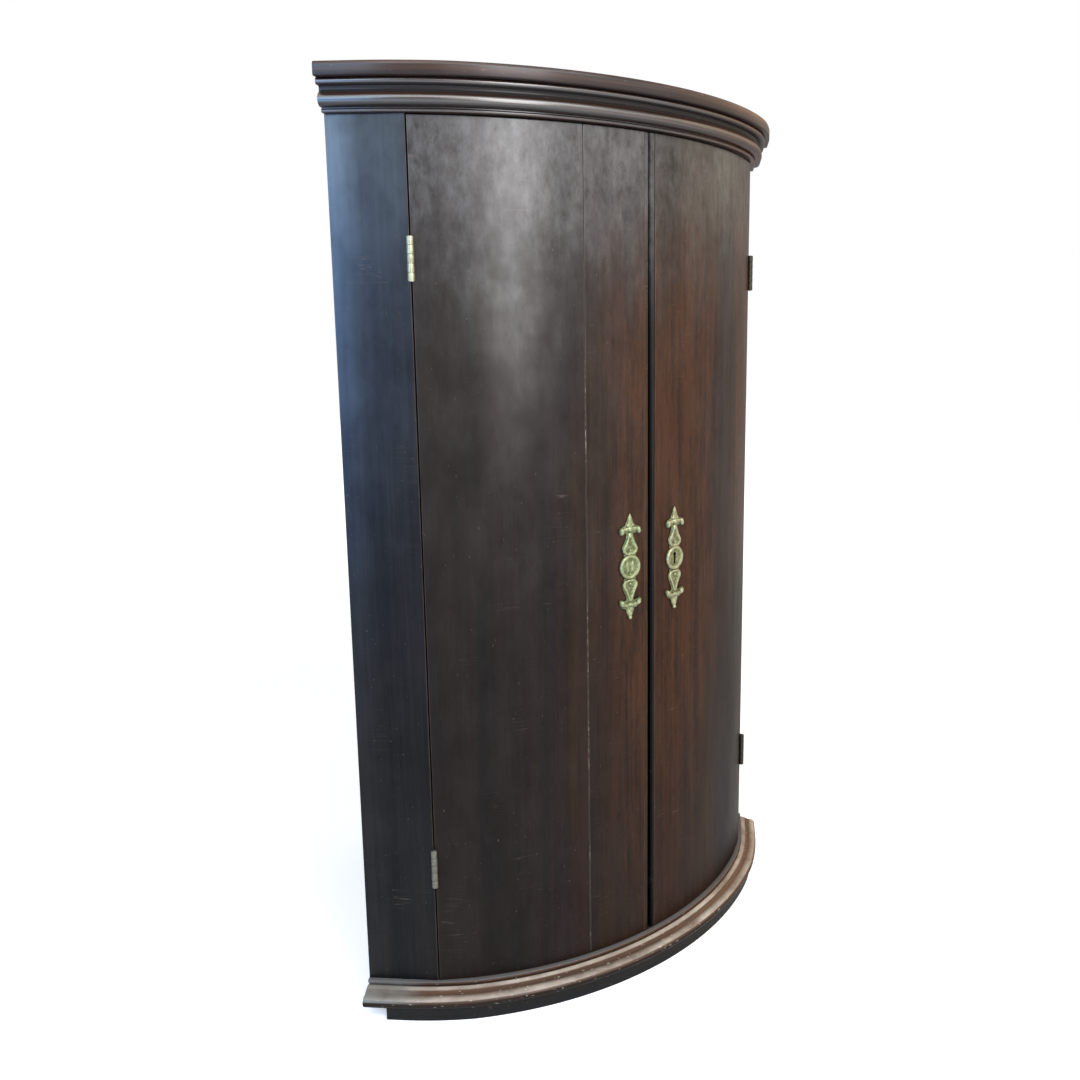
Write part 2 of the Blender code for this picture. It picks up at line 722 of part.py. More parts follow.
def make_base_mould():
    """Fillet, quirk, ogee and nose, from the foot of the doors down to the plinth."""
    top = OPENING_FLOOR
    quirk_floor = top - BASE_FILLET_HEIGHT - BASE_QUIRK_HEIGHT
    ogee = []
    for i in range(2 * ARC_STEPS + 1):
        t = i / (2 * ARC_STEPS)
        fall = t - BASE_OGEE_SHARE * sin(2 * pi * t) / (2 * pi)
        ogee.append((BASE_OGEE_START + (BASE_OGEE_END - BASE_OGEE_START) * t, quirk_floor - BASE_OGEE_DROP * fall))
    nose = (BASE_OGEE_END, quirk_floor - BASE_OGEE_DROP - BASE_NOSE_RADIUS)
    profile = (
        [(SEAT_GAP, CARCASE_FOOT), (BASE_FOOT_PROJECTION, CARCASE_FOOT)]
        + round_points(nose, BASE_NOSE_RADIUS, BASE_NOSE_RADIUS, radians(-70), radians(80))
        + list(reversed(ogee))
        + [(BASE_QUIRK_PROJECTION, quirk_floor), (BASE_QUIRK_PROJECTION, top - BASE_FILLET_HEIGHT)]
        + [(BASE_FILLET_PROJECTION, top - BASE_FILLET_HEIGHT), (BASE_FILLET_PROJECTION, top), (SEAT_GAP, top)]
    )
    swept("base_mould", profile, finish("base_mould_wood", WORN_MAHOGANY, 0.35))


# Doors

def door_axis(side):
    """The empty on a door's hinge line that carries everything on that door."""
    sign = -1 if side == "left" else 1
    empty = bpy.data.objects.new(f"{side}_door_axis", None)
    PARTS.objects.link(empty)
    point = on_bow(sign * HINGE_ANGLE, HINGE_RADIUS)
    empty.location = in_world(point, (DOOR_FLOOR + DOOR_TOP) / 2)
    return empty


def hang(piece, axis):
    """Parents a piece to its axis without moving it."""
    bpy.context.view_layer.update()
    piece.parent = axis
    piece.matrix_parent_inverse = axis.matrix_world.inverted()


def stave_angles():
    """Edges of the right door's staves and of its bead, from the meeting edge to the hinge."""
    bead = (MEETING_GAP / 2 + RIGHT_BEAD_WIDTH) / BOW_RADIUS
    inner = INNER_STAVE_EDGE / BOW_RADIUS
    return bead, inner, (inner + DOOR_EDGE_ANGLE) / 2


def make_staves(side):
    """Three upright staves, curved in plan, edge to edge from the meeting bead to the hinge."""
    sign = -1 if side == "left" else 1
    joint = STAVE_JOINT / DOOR_BACK_RADIUS
    width = LEFT_BEAD_WIDTH if side == "left" else RIGHT_BEAD_WIDTH
    bead = (MEETING_GAP / 2 + width) / BOW_RADIUS + joint
    inner = INNER_STAVE_EDGE / BOW_RADIUS
    middle = (inner + DOOR_EDGE_ANGLE) / 2
    spans = {
        "inner": (bead, inner - joint / 2),
        "middle": (inner + joint / 2, middle - joint / 2),
        "outer": (middle + joint / 2, DOOR_EDGE_ANGLE),
    }
    staves = {}
    for name, (start, end) in spans.items():
        outline = bow_sector(BOW_RADIUS, DOOR_BACK_RADIUS, *sorted((sign * start, sign * end)))
        material = finish(f"{side}_door_{name}_stave_wood", DARK_MAHOGANY, 0.3)
        made = slab(f"{side}_door_{name}_stave", outline, DOOR_FLOOR, DOOR_TOP, material)
        staves[name] = as_mesh(made)
    return staves


def make_edge_bead(side):
    """The strip along a door's meeting edge: round-faced with a quirk on the right door, flat on the left."""
    sign = -1 if side == "left" else 1
    width = LEFT_BEAD_WIDTH if side == "left" else RIGHT_BEAD_WIDTH
    start = MEETING_GAP / 2 / BOW_RADIUS
    end = start + width / BOW_RADIUS
    back = [on_bow(sign * a, DOOR_BACK_RADIUS) for a in (end, start)]
    face = []
    for i in range(BEAD_STEPS + 1):
        share = i / BEAD_STEPS
        fall = BEAD_QUIRK_DEPTH * (1 - sqrt(1 - (2 * share - 1) ** 2))
        if side == "left":
            fall = 0
        face.append(on_bow(sign * (start + (end - start) * share), BOW_RADIUS - fall))
    outline = back + (face if side == "right" else [face[0], face[-1]])
    material = finish(f"{side}_door_bead_wood", RED_MAHOGANY, 0.3)
    made = as_mesh(slab(f"{side}_door_edge_bead", outline, DOOR_FLOOR, DOOR_TOP, material))
    if side == "right":
        height = DOOR_TOP - DOOR_FLOOR
        lean = (MEETING_GAP_FOOT - MEETING_GAP) / height
        frame = facing_out(0, BOW_RADIUS, DOOR_TOP)
        slope = Matrix.Rotation(lean, 4, "Z")
        plane = block(
            "bead_taper",
            (RIGHT_BEAD_WIDTH, 3 * height, 4 * DOOR_THICKNESS),
            frame @ shift(x=MEETING_GAP / 2) @ slope @ shift(x=-RIGHT_BEAD_WIDTH / 2),
            collection=CUTTERS,
        )
        cut(made, [plane])
    return made


def keyhole_cutters(frame, depth):
    """A round head over a straight slot, through whatever lies within the depth either side of the frame."""
    head_height = KEYHOLE_HEIGHT / 2 - KEYHOLE_HEAD_RADIUS
    head = rod(
        "keyhole_head", KEYHOLE_HEAD_RADIUS, 2 * depth, frame @ shift(y=head_height), sides=16, collection=CUTTERS
    )
    slot_height = KEYHOLE_HEIGHT - KEYHOLE_HEAD_RADIUS
    slot = block(
        "keyhole_slot",
        (KEYHOLE_WIDTH, slot_height, 2 * depth),
        frame @ shift(y=(slot_height - KEYHOLE_HEIGHT) / 2),
        collection=CUTTERS,
    )
    return [head, slot]


# Hinges

def hinge_frame(side, height):
    """On the pin's axis, with X pointing away from the stile towards the door."""
    sign = -1 if side == "left" else 1
    frame = facing_out(sign * HINGE_ANGLE, HINGE_RADIUS, height)
    return frame if side == "left" else frame @ TURNED_OVER


def hinge_cutters(frame, towards):
    """The recess for one leaf and the round notch for the barrel, on the side of the joint that is cut."""
    depth = BARREL_PROUD + LEAF_DEPTH + SEAT_GAP
    width = LEAF_SPLIT / 2 + LEAF_THICKNESS + SEAT_GAP
    recess = block(
        "leaf_recess",
        (2 * width, HINGE_LENGTH + 2 * SEAT_GAP, depth + CUT_OVERRUN),
        frame @ shift(x=0, z=(CUT_OVERRUN - depth) / 2),
        collection=CUTTERS,
    )
    notch = rod(
        "barrel_notch",
        BARREL_RADIUS + NOTCH_CLEARANCE,
        HINGE_LENGTH + 2 * SEAT_GAP,
        frame @ ALONG_Y,
        collection=CUTTERS,
    )
    return [recess, notch]


def make_leaf(name, frame, towards, knuckles, material):
    """A leaf with its knuckles rolled round the pin's bore. Towards is -1 for the stile, 1 for the door."""
    start = BARREL_RADIUS + NOTCH_CLEARANCE
    depth = BARREL_PROUD + LEAF_DEPTH - start
    middle = towards * (LEAF_SPLIT + LEAF_THICKNESS) / 2
    leaf = block(
        name,
        (LEAF_THICKNESS, HINGE_LENGTH, depth),
        frame @ shift(x=middle, z=-start - depth / 2),
        material,
    )
    pitch = (HINGE_LENGTH + KNUCKLE_GAP) / HINGE_KNUCKLES
    length = pitch - KNUCKLE_GAP
    bore = PIN_RADIUS + PIN_CLEARANCE
    tools = []
    for index in knuckles:
        y = -HINGE_LENGTH / 2 + index * pitch + length / 2
        tools.append(rod("knuckle", BARREL_RADIUS, length, frame @ shift(y=y) @ ALONG_Y, collection=CUTTERS))
        neck_top = -(bore + NOTCH_CLEARANCE)
        neck_floor = -start - depth / 4
        tools.append(
            block(
                "knuckle_neck",
                (LEAF_THICKNESS, length, neck_top - neck_floor),
                frame @ shift(x=middle, y=y, z=(neck_top + neck_floor) / 2),
                collection=CUTTERS,
            )
        )
    join(leaf, tools)
    hole = rod(
        "pin_bore", bore, HINGE_LENGTH + 2 * CUT_OVERRUN, frame @ ALONG_Y, sides=12, collection=CUTTERS
    )
    return cut(leaf, [hole])


def make_hinges(side, stile, stave, axis):
    """Two butt hinges, let into the stile's edge and the door's."""
    fixed_knuckles = range(0, HINGE_KNUCKLES, 2)
    moving_knuckles = range(1, HINGE_KNUCKLES, 2)
    places = {"lower": OPENING_FLOOR + HINGE_INSET, "upper": OPENING_TOP - HINGE_INSET}
    for place, height in places.items():
        frame = hinge_frame(side, height)
        brass = finish(f"{side}_{place}_hinge_brass", AGED_BRASS, 0.45, 1.0)
        cut(stile, hinge_cutters(frame, -1))
        cut(stave, hinge_cutters(frame, 1))
        make_leaf(f"{side}_{place}_hinge_fixed_leaf", frame, -1, fixed_knuckles, brass)
        moving = make_leaf(f"{side}_{place}_hinge_door_leaf", frame, 1, moving_knuckles, brass)
        hang(moving, axis)
        rod(
            f"{side}_{place}_hinge_pin",
            PIN_RADIUS,
            HINGE_LENGTH + 2 * PIN_PROUD,
            frame @ ALONG_Y,
            brass,
            sides=12,
        )


# Escutcheons

# Half outline of the plate above its middle: share of the half length up, share of the half width out
PLATE_OUTLINE_SHARES = (
    (0.00, 0.96),
    (0.08, 0.93),
    (0.15, 0.78),
    (0.20, 0.58),
    (0.25, 0.56),
    (0.32, 0.72),
    (0.38, 0.70),
    (0.48, 0.50),
    (0.58, 0.34),
    (0.625, 0.32),
    (0.635, 0.55),
    (0.60, 0.80),
    (0.63, 0.96),
    (0.69, 1.00),
    (0.745, 0.86),
    (0.775, 0.60),
    (0.785, 0.42),
    (0.82, 0.38),
    (0.90, 0.24),
    (0.97, 0.10),
    (1.00, 0.00),
)


LEAF_TAPER = 0.62


def plate_end(frame):
    """The leaf above the ring and the bar and lobes beyond it, then its hollow, then the bead in the hollow."""
    face = frame @ shift(z=PLATE_THICKNESS / 2)
    leaf = (LEAF_HALF_WIDTH, LEAF_HALF_HEIGHT, LEAF_RISE)
    raised = [
        dome("leaf", leaf, frame @ shift(y=LEAF_CENTRE), LEAF_TAPER),
        rod("bar", BAR_RADIUS, BAR_LENGTH, face @ shift(y=BAR_HEIGHT) @ ALONG_X, sides=12, collection=CUTTERS),
    ]
    for across in (1, -1):
        lobe = frame @ shift(x=across * LOBE_OFFSET, y=LOBE_CENTRE)
        raised.append(dome("lobe", (LOBE_HALF_WIDTH, LOBE_HALF_HEIGHT, LOBE_RISE), lobe))
    scoop = (HOLLOW_HALF_WIDTH, HOLLOW_HALF_HEIGHT, HOLLOW_HALF_DEPTH)
    hollow = dome("hollow", scoop, frame @ shift(y=LEAF_CENTRE, z=HOLLOW_HEIGHT), LEAF_TAPER)
    bead = (LEAF_BEAD_RADIUS, LEAF_BEAD_RADIUS, LEAF_BEAD_RADIUS)
    return raised, hollow, dome("leaf_bead", bead, face @ shift(y=LEAF_BEAD_HEIGHT))


def make_escutcheon(side, door_axis_empty):
    """A cast plate: spire, two drooping lobes and a leaf at each end, an oval ring in the middle."""
    sign, offset = (-1, LEFT_PLATE_OFFSET) if side == "left" else (1, RIGHT_PLATE_OFFSET)
    quarter = [(PLATE_HALF_WIDTH * w, PLATE_HALF_LENGTH * h) for h, w in PLATE_OUTLINE_SHARES]
    upper_left = [(-x, y) for x, y in reversed(quarter[:-1])]
    top = quarter + upper_left
    bottom = [(x, -y) for x, y in reversed(top[1:-1])]
    curve = outline_curve(f"{side}_escutcheon", top + bottom)
    curve.extrude = PLATE_THICKNESS / 2 - PLATE_EDGE_ROUND
    curve.bevel_depth = PLATE_EDGE_ROUND
    curve.bevel_resolution = 0
    curve.offset = -PLATE_EDGE_ROUND
    brass = finish(f"{side}_escutcheon_brass", AGED_BRASS, 0.45, 1.0)
    sag = PLATE_HALF_WIDTH**2 / 8 / BOW_RADIUS
    frame = facing_out(sign * offset / BOW_RADIUS, BOW_RADIUS + SEAT_GAP + sag + PLATE_THICKNESS / 2, PLATE_HEIGHT)
    made = adopt(bpy.data.objects.new(f"{side}_escutcheon", curve), brass)
    made.matrix_world = frame
    plate = as_mesh(made)
    face = frame @ shift(z=PLATE_THICKNESS / 2)
    tools = [ring("ring", RING_HALF_WIDTH, RING_HALF_HEIGHT, RING_WIRE, face)]
    if side == "left":
        petal = (PETAL_HALF_WIDTH, PETAL_HALF_HEIGHT, PETAL_RISE)
        tools += [dome("petal", petal, frame @ shift(x=across * PETAL_OFFSET)) for across in (1, -1)]
    hollows, beads = [], []
    for end in (frame, frame @ TURNED_OVER):
        raised, hollow, bead = plate_end(end)
        tools += raised
        hollows.append(hollow)
        beads.append(bead)
    root = shift(y=BAR_HEIGHT) @ ALONG_Y
    foot = frame @ TURNED_OVER
    tools.append(spike("spire", SPIRE_FOOT_RADIUS, SPIRE_TIP_RADIUS, SPIRE_LENGTH, frame @ root))
    tools.append(spike("tail", TAIL_FOOT_RADIUS, TAIL_TIP_RADIUS, TAIL_LENGTH, foot @ root))
    ball = (TAIL_BALL_RADIUS, TAIL_BALL_RADIUS, TAIL_BALL_RADIUS)
    tools.append(dome("tail_ball", ball, foot @ shift(y=PLATE_HALF_LENGTH - TAIL_BALL_RADIUS)))
    join(plate, tools)
    cut(plate, hollows)
    join(plate, beads)
    underside = block(
        "plate_underside",
        (4 * PLATE_HALF_WIDTH, 4 * PLATE_HALF_LENGTH, 4 * LOBE_RISE),
        frame @ shift(z=-PLATE_THICKNESS / 2 - 2 * LOBE_RISE),
        collection=CUTTERS,
    )
    cutters = [underside]
    if side == "right":
        cutters += keyhole_cutters(frame, 2 * DOOR_THICKNESS)
    cut(plate, cutters)
    hang(plate, door_axis_empty)
    return frame


# Lock

def right_edge(height):
    """How far the right door's meeting edge stands from the centre line at this height."""
    share = (DOOR_TOP - height) / (DOOR_TOP - DOOR_FLOOR)
    return MEETING_GAP / 2 + (MEETING_GAP_FOOT - MEETING_GAP) * share


def lock_frame():
    """On the back of the right door, at the middle of the lock case."""
    middle = right_edge(PLATE_HEIGHT) + LOCK_EDGE_INSET + LOCK_WIDTH / 2
    return facing_out(middle / DOOR_BACK_RADIUS, DOOR_BACK_RADIUS, PLATE_HEIGHT)


def lock_housing(frame):
    """A cutter for the shallow recess of the lock case, running out at the meeting edge."""
    width = right_edge(PLATE_HEIGHT) + LOCK_EDGE_INSET + LOCK_WIDTH + SEAT_GAP
    return block(
        "lock_housing",
        (width, LOCK_HEIGHT + 2 * SEAT_GAP, LOCK_RECESS + DOOR_THICKNESS),
        frame @ shift(x=LOCK_WIDTH / 2 + SEAT_GAP - width / 2, z=(LOCK_RECESS - DOOR_THICKNESS) / 2),
        collection=CUTTERS,
    )


def make_lock(inner_stave, bead, plate_frame, axis, left_axis):
    """The case let into the back of the right door, its bolt, and the keeper behind the left door."""
    frame = lock_frame()
    front = LOCK_RECESS - SEAT_GAP
    cut(inner_stave, [lock_housing(frame)])
    cut(bead, [lock_housing(frame)])
    case = block(
        "lock_case",
        (LOCK_WIDTH, LOCK_HEIGHT, LOCK_THICKNESS),
        frame @ shift(z=front - LOCK_THICKNESS / 2),
        finish("lock_iron", OLD_IRON, 0.5, 1.0),
    )
    bolt_depth = front - LOCK_THICKNESS + LOCK_BACK_WALL + SLIDE_CLEARANCE + LOCK_BOLT_THICKNESS / 2
    channel_length = LOCK_BOLT_LENGTH + SLIDE_CLEARANCE + CUT_OVERRUN
    channel = block(
        "bolt_channel",
        (channel_length, LOCK_BOLT_HEIGHT + 2 * SLIDE_CLEARANCE, LOCK_BOLT_THICKNESS + 2 * SLIDE_CLEARANCE),
        frame @ shift(x=channel_length / 2 - LOCK_WIDTH / 2 - CUT_OVERRUN, z=bolt_depth),
        collection=CUTTERS,
    )
    case_keyhole = keyhole_cutters(plate_frame @ shift(z=LOCK_RECESS - DOOR_THICKNESS), LOCK_KEYHOLE_DEPTH)
    cut(case, [channel] + case_keyhole)
    hang(case, axis)
    bolt = block(
        "lock_bolt",
        (LOCK_BOLT_LENGTH, LOCK_BOLT_HEIGHT, LOCK_BOLT_THICKNESS),
        frame @ shift(x=LOCK_BOLT_LENGTH / 2 - LOCK_WIDTH / 2, z=bolt_depth),
        finish("lock_bolt_iron", OLD_IRON, 0.4, 1.0),
    )
    hang(bolt, axis)
    gap = right_edge(PLATE_HEIGHT) + LOCK_EDGE_INSET + MEETING_GAP / 2 + KEEPER_EDGE_INSET
    keeper_middle = -LOCK_WIDTH / 2 - gap - KEEPER_WIDTH / 2
    reach = KEEPER_WIDTH / 2 - keeper_middle
    keeper_front = -reach * reach / 2 / DOOR_BACK_RADIUS - KEEPER_STANDOFF
    mouth_floor = bolt_depth - LOCK_BOLT_THICKNESS / 2 - SLIDE_CLEARANCE
    keeper_back = mouth_floor - KEEPER_WALL
    keeper = block(
        "lock_keeper",
        (KEEPER_WIDTH, KEEPER_HEIGHT, keeper_front - keeper_back),
        frame @ shift(x=keeper_middle, z=(keeper_front + keeper_back) / 2),
        finish("lock_keeper_iron", OLD_IRON, 0.5, 1.0),
    )
    mouth = block(
        "keeper_mouth",
        (KEEPER_WIDTH + 2 * CUT_OVERRUN, LOCK_BOLT_HEIGHT + 2 * SLIDE_CLEARANCE, DOOR_THICKNESS),
        frame @ shift(x=keeper_middle, z=mouth_floor + DOOR_THICKNESS / 2),
        collection=CUTTERS,
    )
    cut(keeper, [mouth])
    hang(keeper, left_axis)


# Slide bolts

def bolt_frame(height):
    """On the back of the left door, on the line of its slide bolts."""
    sag = BOLT_PLATE_WIDTH**2 / 8 / DOOR_BACK_RADIUS
    return facing_out(-BOLT_OFFSET / BOW_RADIUS, DOOR_BACK_RADIUS - SEAT_GAP - sag, height)


def make_slide_bolt(place, axis):
    """A round bolt in two guides on a plate, drawn back clear of the board that it shoots into."""
    height = INTERIOR_TOP if place == "top" else INTERIOR_FLOOR
    frame = bolt_frame(height)
    if place == "bottom":
        frame = frame @ TURNED_OVER
    brass = finish(f"{place}_bolt_brass", AGED_BRASS, 0.5, 1.0)
    plate_middle = -BOLT_PLATE_INSET - BOLT_TIP_CLEARANCE - BOLT_PLATE_LENGTH / 2
    plate = block(
        f"{place}_bolt_plate",
        (BOLT_PLATE_WIDTH, BOLT_PLATE_LENGTH, BOLT_PLATE_THICKNESS),
        frame @ shift(y=plate_middle, z=-BOLT_PLATE_THICKNESS / 2),
        brass,
    )
    guide_width = 2 * (BOLT_RADIUS + SLIDE_CLEARANCE + GUIDE_WALL)
    guide_depth = BOLT_AXIS_DEPTH + BOLT_RADIUS + SLIDE_CLEARANCE + GUIDE_WALL - BOLT_PLATE_THICKNESS / 2
    guides = []
    for end in (1, -1):
        y = plate_middle + end * (BOLT_PLATE_LENGTH / 2 - GUIDE_END_INSET - GUIDE_LENGTH / 2)
        guides.append(
            block(
                "guide",
                (guide_width, GUIDE_LENGTH, guide_depth),
                frame @ shift(y=y, z=-BOLT_PLATE_THICKNESS / 2 - guide_depth / 2),
                collection=CUTTERS,
            )
        )
    join(plate, guides)
    bore = rod(
        "guide_bore",
        BOLT_RADIUS + SLIDE_CLEARANCE,
        2 * BOLT_PLATE_LENGTH,
        frame @ shift(y=plate_middle, z=-BOLT_AXIS_DEPTH) @ ALONG_Y,
        sides=BOLT_SIDES,
        collection=CUTTERS,
    )
    cut(plate, [bore])
    hang(plate, axis)
    bolt = rod(
        f"{place}_bolt",
        BOLT_RADIUS,
        BOLT_LENGTH,
        frame @ shift(y=-BOLT_TIP_CLEARANCE - BOLT_LENGTH / 2, z=-BOLT_AXIS_DEPTH) @ ALONG_Y,
        brass,
        sides=BOLT_SIDES,
    )
    knob_middle = BOLT_AXIS_DEPTH + KNOB_LENGTH / 2
    knob = rod(
        "knob",
        KNOB_RADIUS,
        KNOB_LENGTH,
        frame @ shift(y=plate_middle - BOLT_THROW / 2, z=-knob_middle),
        sides=BOLT_SIDES,
        collection=CUTTERS,
    )
    join(bolt, [knob])
    hang(bolt, axis)


# Assembly

def build():
    make_plinth()
    stiles = make_stiles()
    make_wall_boards()
    make_end_boards()
    make_rails()
    make_shelves()
    make_cornice()
    make_base_mould()
    axes = {side: door_axis(side) for side in ("left", "right")}
    staves = {side: make_staves(side) for side in ("left", "right")}
    beads = {side: make_edge_bead(side) for side in ("left", "right")}
    for side in ("left", "right"):
        make_hinges(side, stiles[side], staves[side]["outer"], axes[side])
        plate_frame = make_escutcheon(side, axes[side])
    make_lock(staves["right"]["inner"], beads["right"], plate_frame, axes["right"], axes["left"])
    cut(staves["right"]["inner"], keyhole_cutters(plate_frame, 2 * DOOR_THICKNESS))
    for side in ("left", "right"):
        for board in (*staves[side].values(), beads[side]):
            hang(board, axes[side])
    for place in ("top", "bottom"):
        make_slide_bolt(place, axes["left"])


build()
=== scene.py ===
"""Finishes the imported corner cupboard: its worked surfaces, their materials and the studio."""

import logging
from collections.abc import Callable, Sequence
from dataclasses import dataclass
from enum import Enum
from functools import cache
from math import asin, atan2, ceil, cos, degrees, hypot, pi, radians, sin, sqrt, tan
from typing import Any, NamedTuple, Union

import bpy
import numpy as np
from mathutils import Matrix, Vector
from numpy import array, clip, concatenate, linspace, maximum, stack


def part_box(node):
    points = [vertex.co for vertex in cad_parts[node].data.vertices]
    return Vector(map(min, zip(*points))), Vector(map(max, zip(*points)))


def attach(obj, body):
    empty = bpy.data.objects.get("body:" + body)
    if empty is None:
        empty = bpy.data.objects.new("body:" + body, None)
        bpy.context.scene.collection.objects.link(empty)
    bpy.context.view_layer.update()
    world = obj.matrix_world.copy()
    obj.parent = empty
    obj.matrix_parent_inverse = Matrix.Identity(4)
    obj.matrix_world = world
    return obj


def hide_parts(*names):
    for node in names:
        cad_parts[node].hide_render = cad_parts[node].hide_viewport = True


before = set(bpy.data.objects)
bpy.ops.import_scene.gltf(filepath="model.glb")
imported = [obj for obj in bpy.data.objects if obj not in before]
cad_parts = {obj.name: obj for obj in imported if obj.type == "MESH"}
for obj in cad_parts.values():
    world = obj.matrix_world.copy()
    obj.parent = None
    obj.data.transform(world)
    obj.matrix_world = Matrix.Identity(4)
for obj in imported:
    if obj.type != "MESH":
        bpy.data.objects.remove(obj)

log = logging.getLogger("corner_cupboard")
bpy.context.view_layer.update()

Array = np.ndarray
Colour = tuple[float, float, float]
Pair = tuple[float, float]
Piece = bpy.types.Object
Material = bpy.types.Material

SMOOTH_ANGLE = radians(32)
FULL_TURN = 2 * pi
HAIR = 0.00002
SEAT = 0.0003
BOARD = 0.02
DOOR_FOOT = 0.0398
DOOR_HEIGHT = 0.98
LOWEST_ROW = 0.06
HIGHEST_ROW = 1.04
EDGE_MARGIN = 0.0012
TINY = 0.02
PLATE_HEIGHT = 0.484
PLATE_OFFSETS = (-0.03, 0.043)
SIDES = ((-1, "left"), (1, "right"))


# Surfaces


def unit(vectors: Array) -> Array:
    """The vectors, each divided by its own length."""
    return vectors / maximum(np.linalg.norm(vectors, axis=-1, keepdims=True), 1e-12)


def polar(radius: Array | float, turn: Array) -> Array:
    """Plan points at distances and angles from the origin."""
    return stack([radius * np.cos(turn), radius * np.sin(turn)], -1)


def around(sides: int) -> Array:
    """Equal turns round a circle."""
    return FULL_TURN * np.arange(sides) / sides


def flipped(plan: Array) -> Array:
    """Plan points on the other side of the middle."""
    return plan * array([-1.0, 1.0])


def box(x0: float, x1: float, y0: float, y1: float) -> Array:
    """The four corners of an upright rectangle on the plan."""
    return array([[x0, y0], [x1, y0], [x1, y1], [x0, y1]])


def lifted(plan: Array, height: Array) -> Array:
    """Plan points, (M, N, 2), given a height that spreads over them."""
    return concatenate([plan, np.broadcast_to(height[..., None], (*plan.shape[:2], 1))], -1)


def anticlockwise(loop: Array) -> Array:
    """The loop, turned round if its neighbouring points' cross products add up to less than nothing."""
    x, y = loop.T
    return loop if np.sum(x * np.roll(y, -1) - y * np.roll(x, -1)) > 0 else loop[::-1]


def arc(x: float, y: float, radius: float, start: float, end: float, steps: int) -> Array:
    """Points on an arc about x, y, its angles in degrees from the first axis."""
    return array([x, y]) + polar(radius, np.radians(linspace(start, end, steps + 1)))


def draw_in(loop: Array) -> Array:
    """How each point of an anticlockwise loop moves when its sides are all drawn in by one unit.

    The two inward normals at the point are added and divided by one plus their dot product, which is
    the mitre of a picture frame.

    Args:
        loop: plan points, (N, 2).

    Returns:
        The mitre vectors, (N, 2).
    """
    along = unit(np.roll(loop, -1, axis=0) - loop)
    inward = stack([-along[:, 1], along[:, 0]], -1)
    before = np.roll(inward, 1, axis=0)
    share = 1 + np.sum(inward * before, axis=-1, keepdims=True)
    return (inward + before) / maximum(share, 0.3)


def softened(corners: Array, radius: float, steps: int = 4, margin: float = 0.0016) -> Array:
    """Rounds every corner of a polygon.

    Each corner becomes an arc about the point that is one radius from both its sides, found on the
    bisector. A point is kept a margin before and after the arc, so that wear stays on the corner.

    Args:
        corners: the polygon, (P, 2).
        radius: of the arcs.
        steps: in each arc.
        margin: from the arc to the next point of the flat side.

    Returns:
        The rounded loop, anticlockwise.
    """
    corners = anticlockwise(np.asarray(corners, float))
    back = unit(np.roll(corners, 1, axis=0) - corners)
    ahead = unit(np.roll(corners, -1, axis=0) - corners)
    between = np.arccos(clip(np.sum(back * ahead, -1), -1, 1))
    reach = radius / np.tan(between / 2)
    centre = corners + unit(back + ahead) * (radius / np.sin(between / 2))[:, None]
    start = (corners + back * reach[:, None] - centre) / radius
    end = (corners + ahead * reach[:, None] - centre) / radius
    sweep = (pi - between)[:, None, None]
    share = linspace(0, 1, steps + 1)[None, :, None]
    arcs = np.sin((1 - share) * sweep) * start[:, None] + np.sin(share * sweep) * end[:, None]
    points = centre[:, None] + radius * arcs / np.sin(sweep)
    first = corners + back * (reach + margin)[:, None]
    last = corners + ahead * (reach + margin)[:, None]
    return concatenate([first[:, None], points, last[:, None]], axis=1).reshape(-1, 2)


def lengths_along(line: Array) -> Array:
    """Distance run along a line at each of its points."""
    return concatenate([[0.0], np.cumsum(np.linalg.norm(np.diff(line, axis=0), axis=-1))])


def read_off(where: Array, run: Array, line: Array) -> Array:
    """The points of a line at given distances along it."""
    return stack([np.interp(where, run, line[:, k]) for k in (0, 1)], -1)


def divided(loop: Array, spacing: float, near: Array | None = None) -> Array:
    """Adds points to a loop's long sides, equally spaced, and closer round a hinge's barrel.

    Args:
        loop: closed loop, (N, 2), whose own points are all kept.
        spacing: between the added points.
        near: where a barrel passes, if one does.

    Returns:
        The loop with its added points.
    """
    reach, fine, least = 0.0075, 0.0005, 0.0001
    closed = concatenate([loop, loop[:1]])
    run = lengths_along(closed)
    added = np.arange(spacing, run[-1], spacing)
    if near is not None:
        close = np.arange(fine, run[-1], fine)
        spots = read_off(close, run, closed)
        added = concatenate([added, close[np.linalg.norm(spots - near, axis=-1) < reach]])
    added = np.unique(added)
    slot = clip(np.searchsorted(run, added), 1, len(run) - 1)
    gap = np.minimum(np.abs(added - run[slot - 1]), np.abs(added - run[slot]))
    added = added[gap > least]
    added = added[concatenate([[True], np.diff(added) > least])]
    return read_off(np.sort(concatenate([run[:-1], added])), run, closed)


def arris(loop: Array, window: float = 0.0012) -> Array:
    """How far each point stands on an edge, from 0 on the flat to 1 on a square outer corner and -1 in
    a square hollow.

    The direction of the loop a window's length ahead is set against that behind, and the turn to the
    left between them is divided by a right angle.

    Args:
        loop: anticlockwise loop, (N, 2).
        window: the length looked at either way.

    Returns:
        One share for each point.
    """
    run = lengths_along(concatenate([loop, loop[:1]]))
    total, own = run[-1], run[:-1]
    thrice = concatenate([loop, loop, loop, loop[:1]])
    stations = concatenate([own - total, own, own + total, [2 * total]])
    here = read_off(own, stations, thrice)
    ahead = read_off(own + window, stations, thrice) - here
    behind = here - read_off(own - window, stations, thrice)
    cross = behind[:, 0] * ahead[:, 1] - behind[:, 1] * ahead[:, 0]
    return clip(np.arctan2(cross, np.sum(behind * ahead, axis=-1)) / (pi / 2), -1, 1)


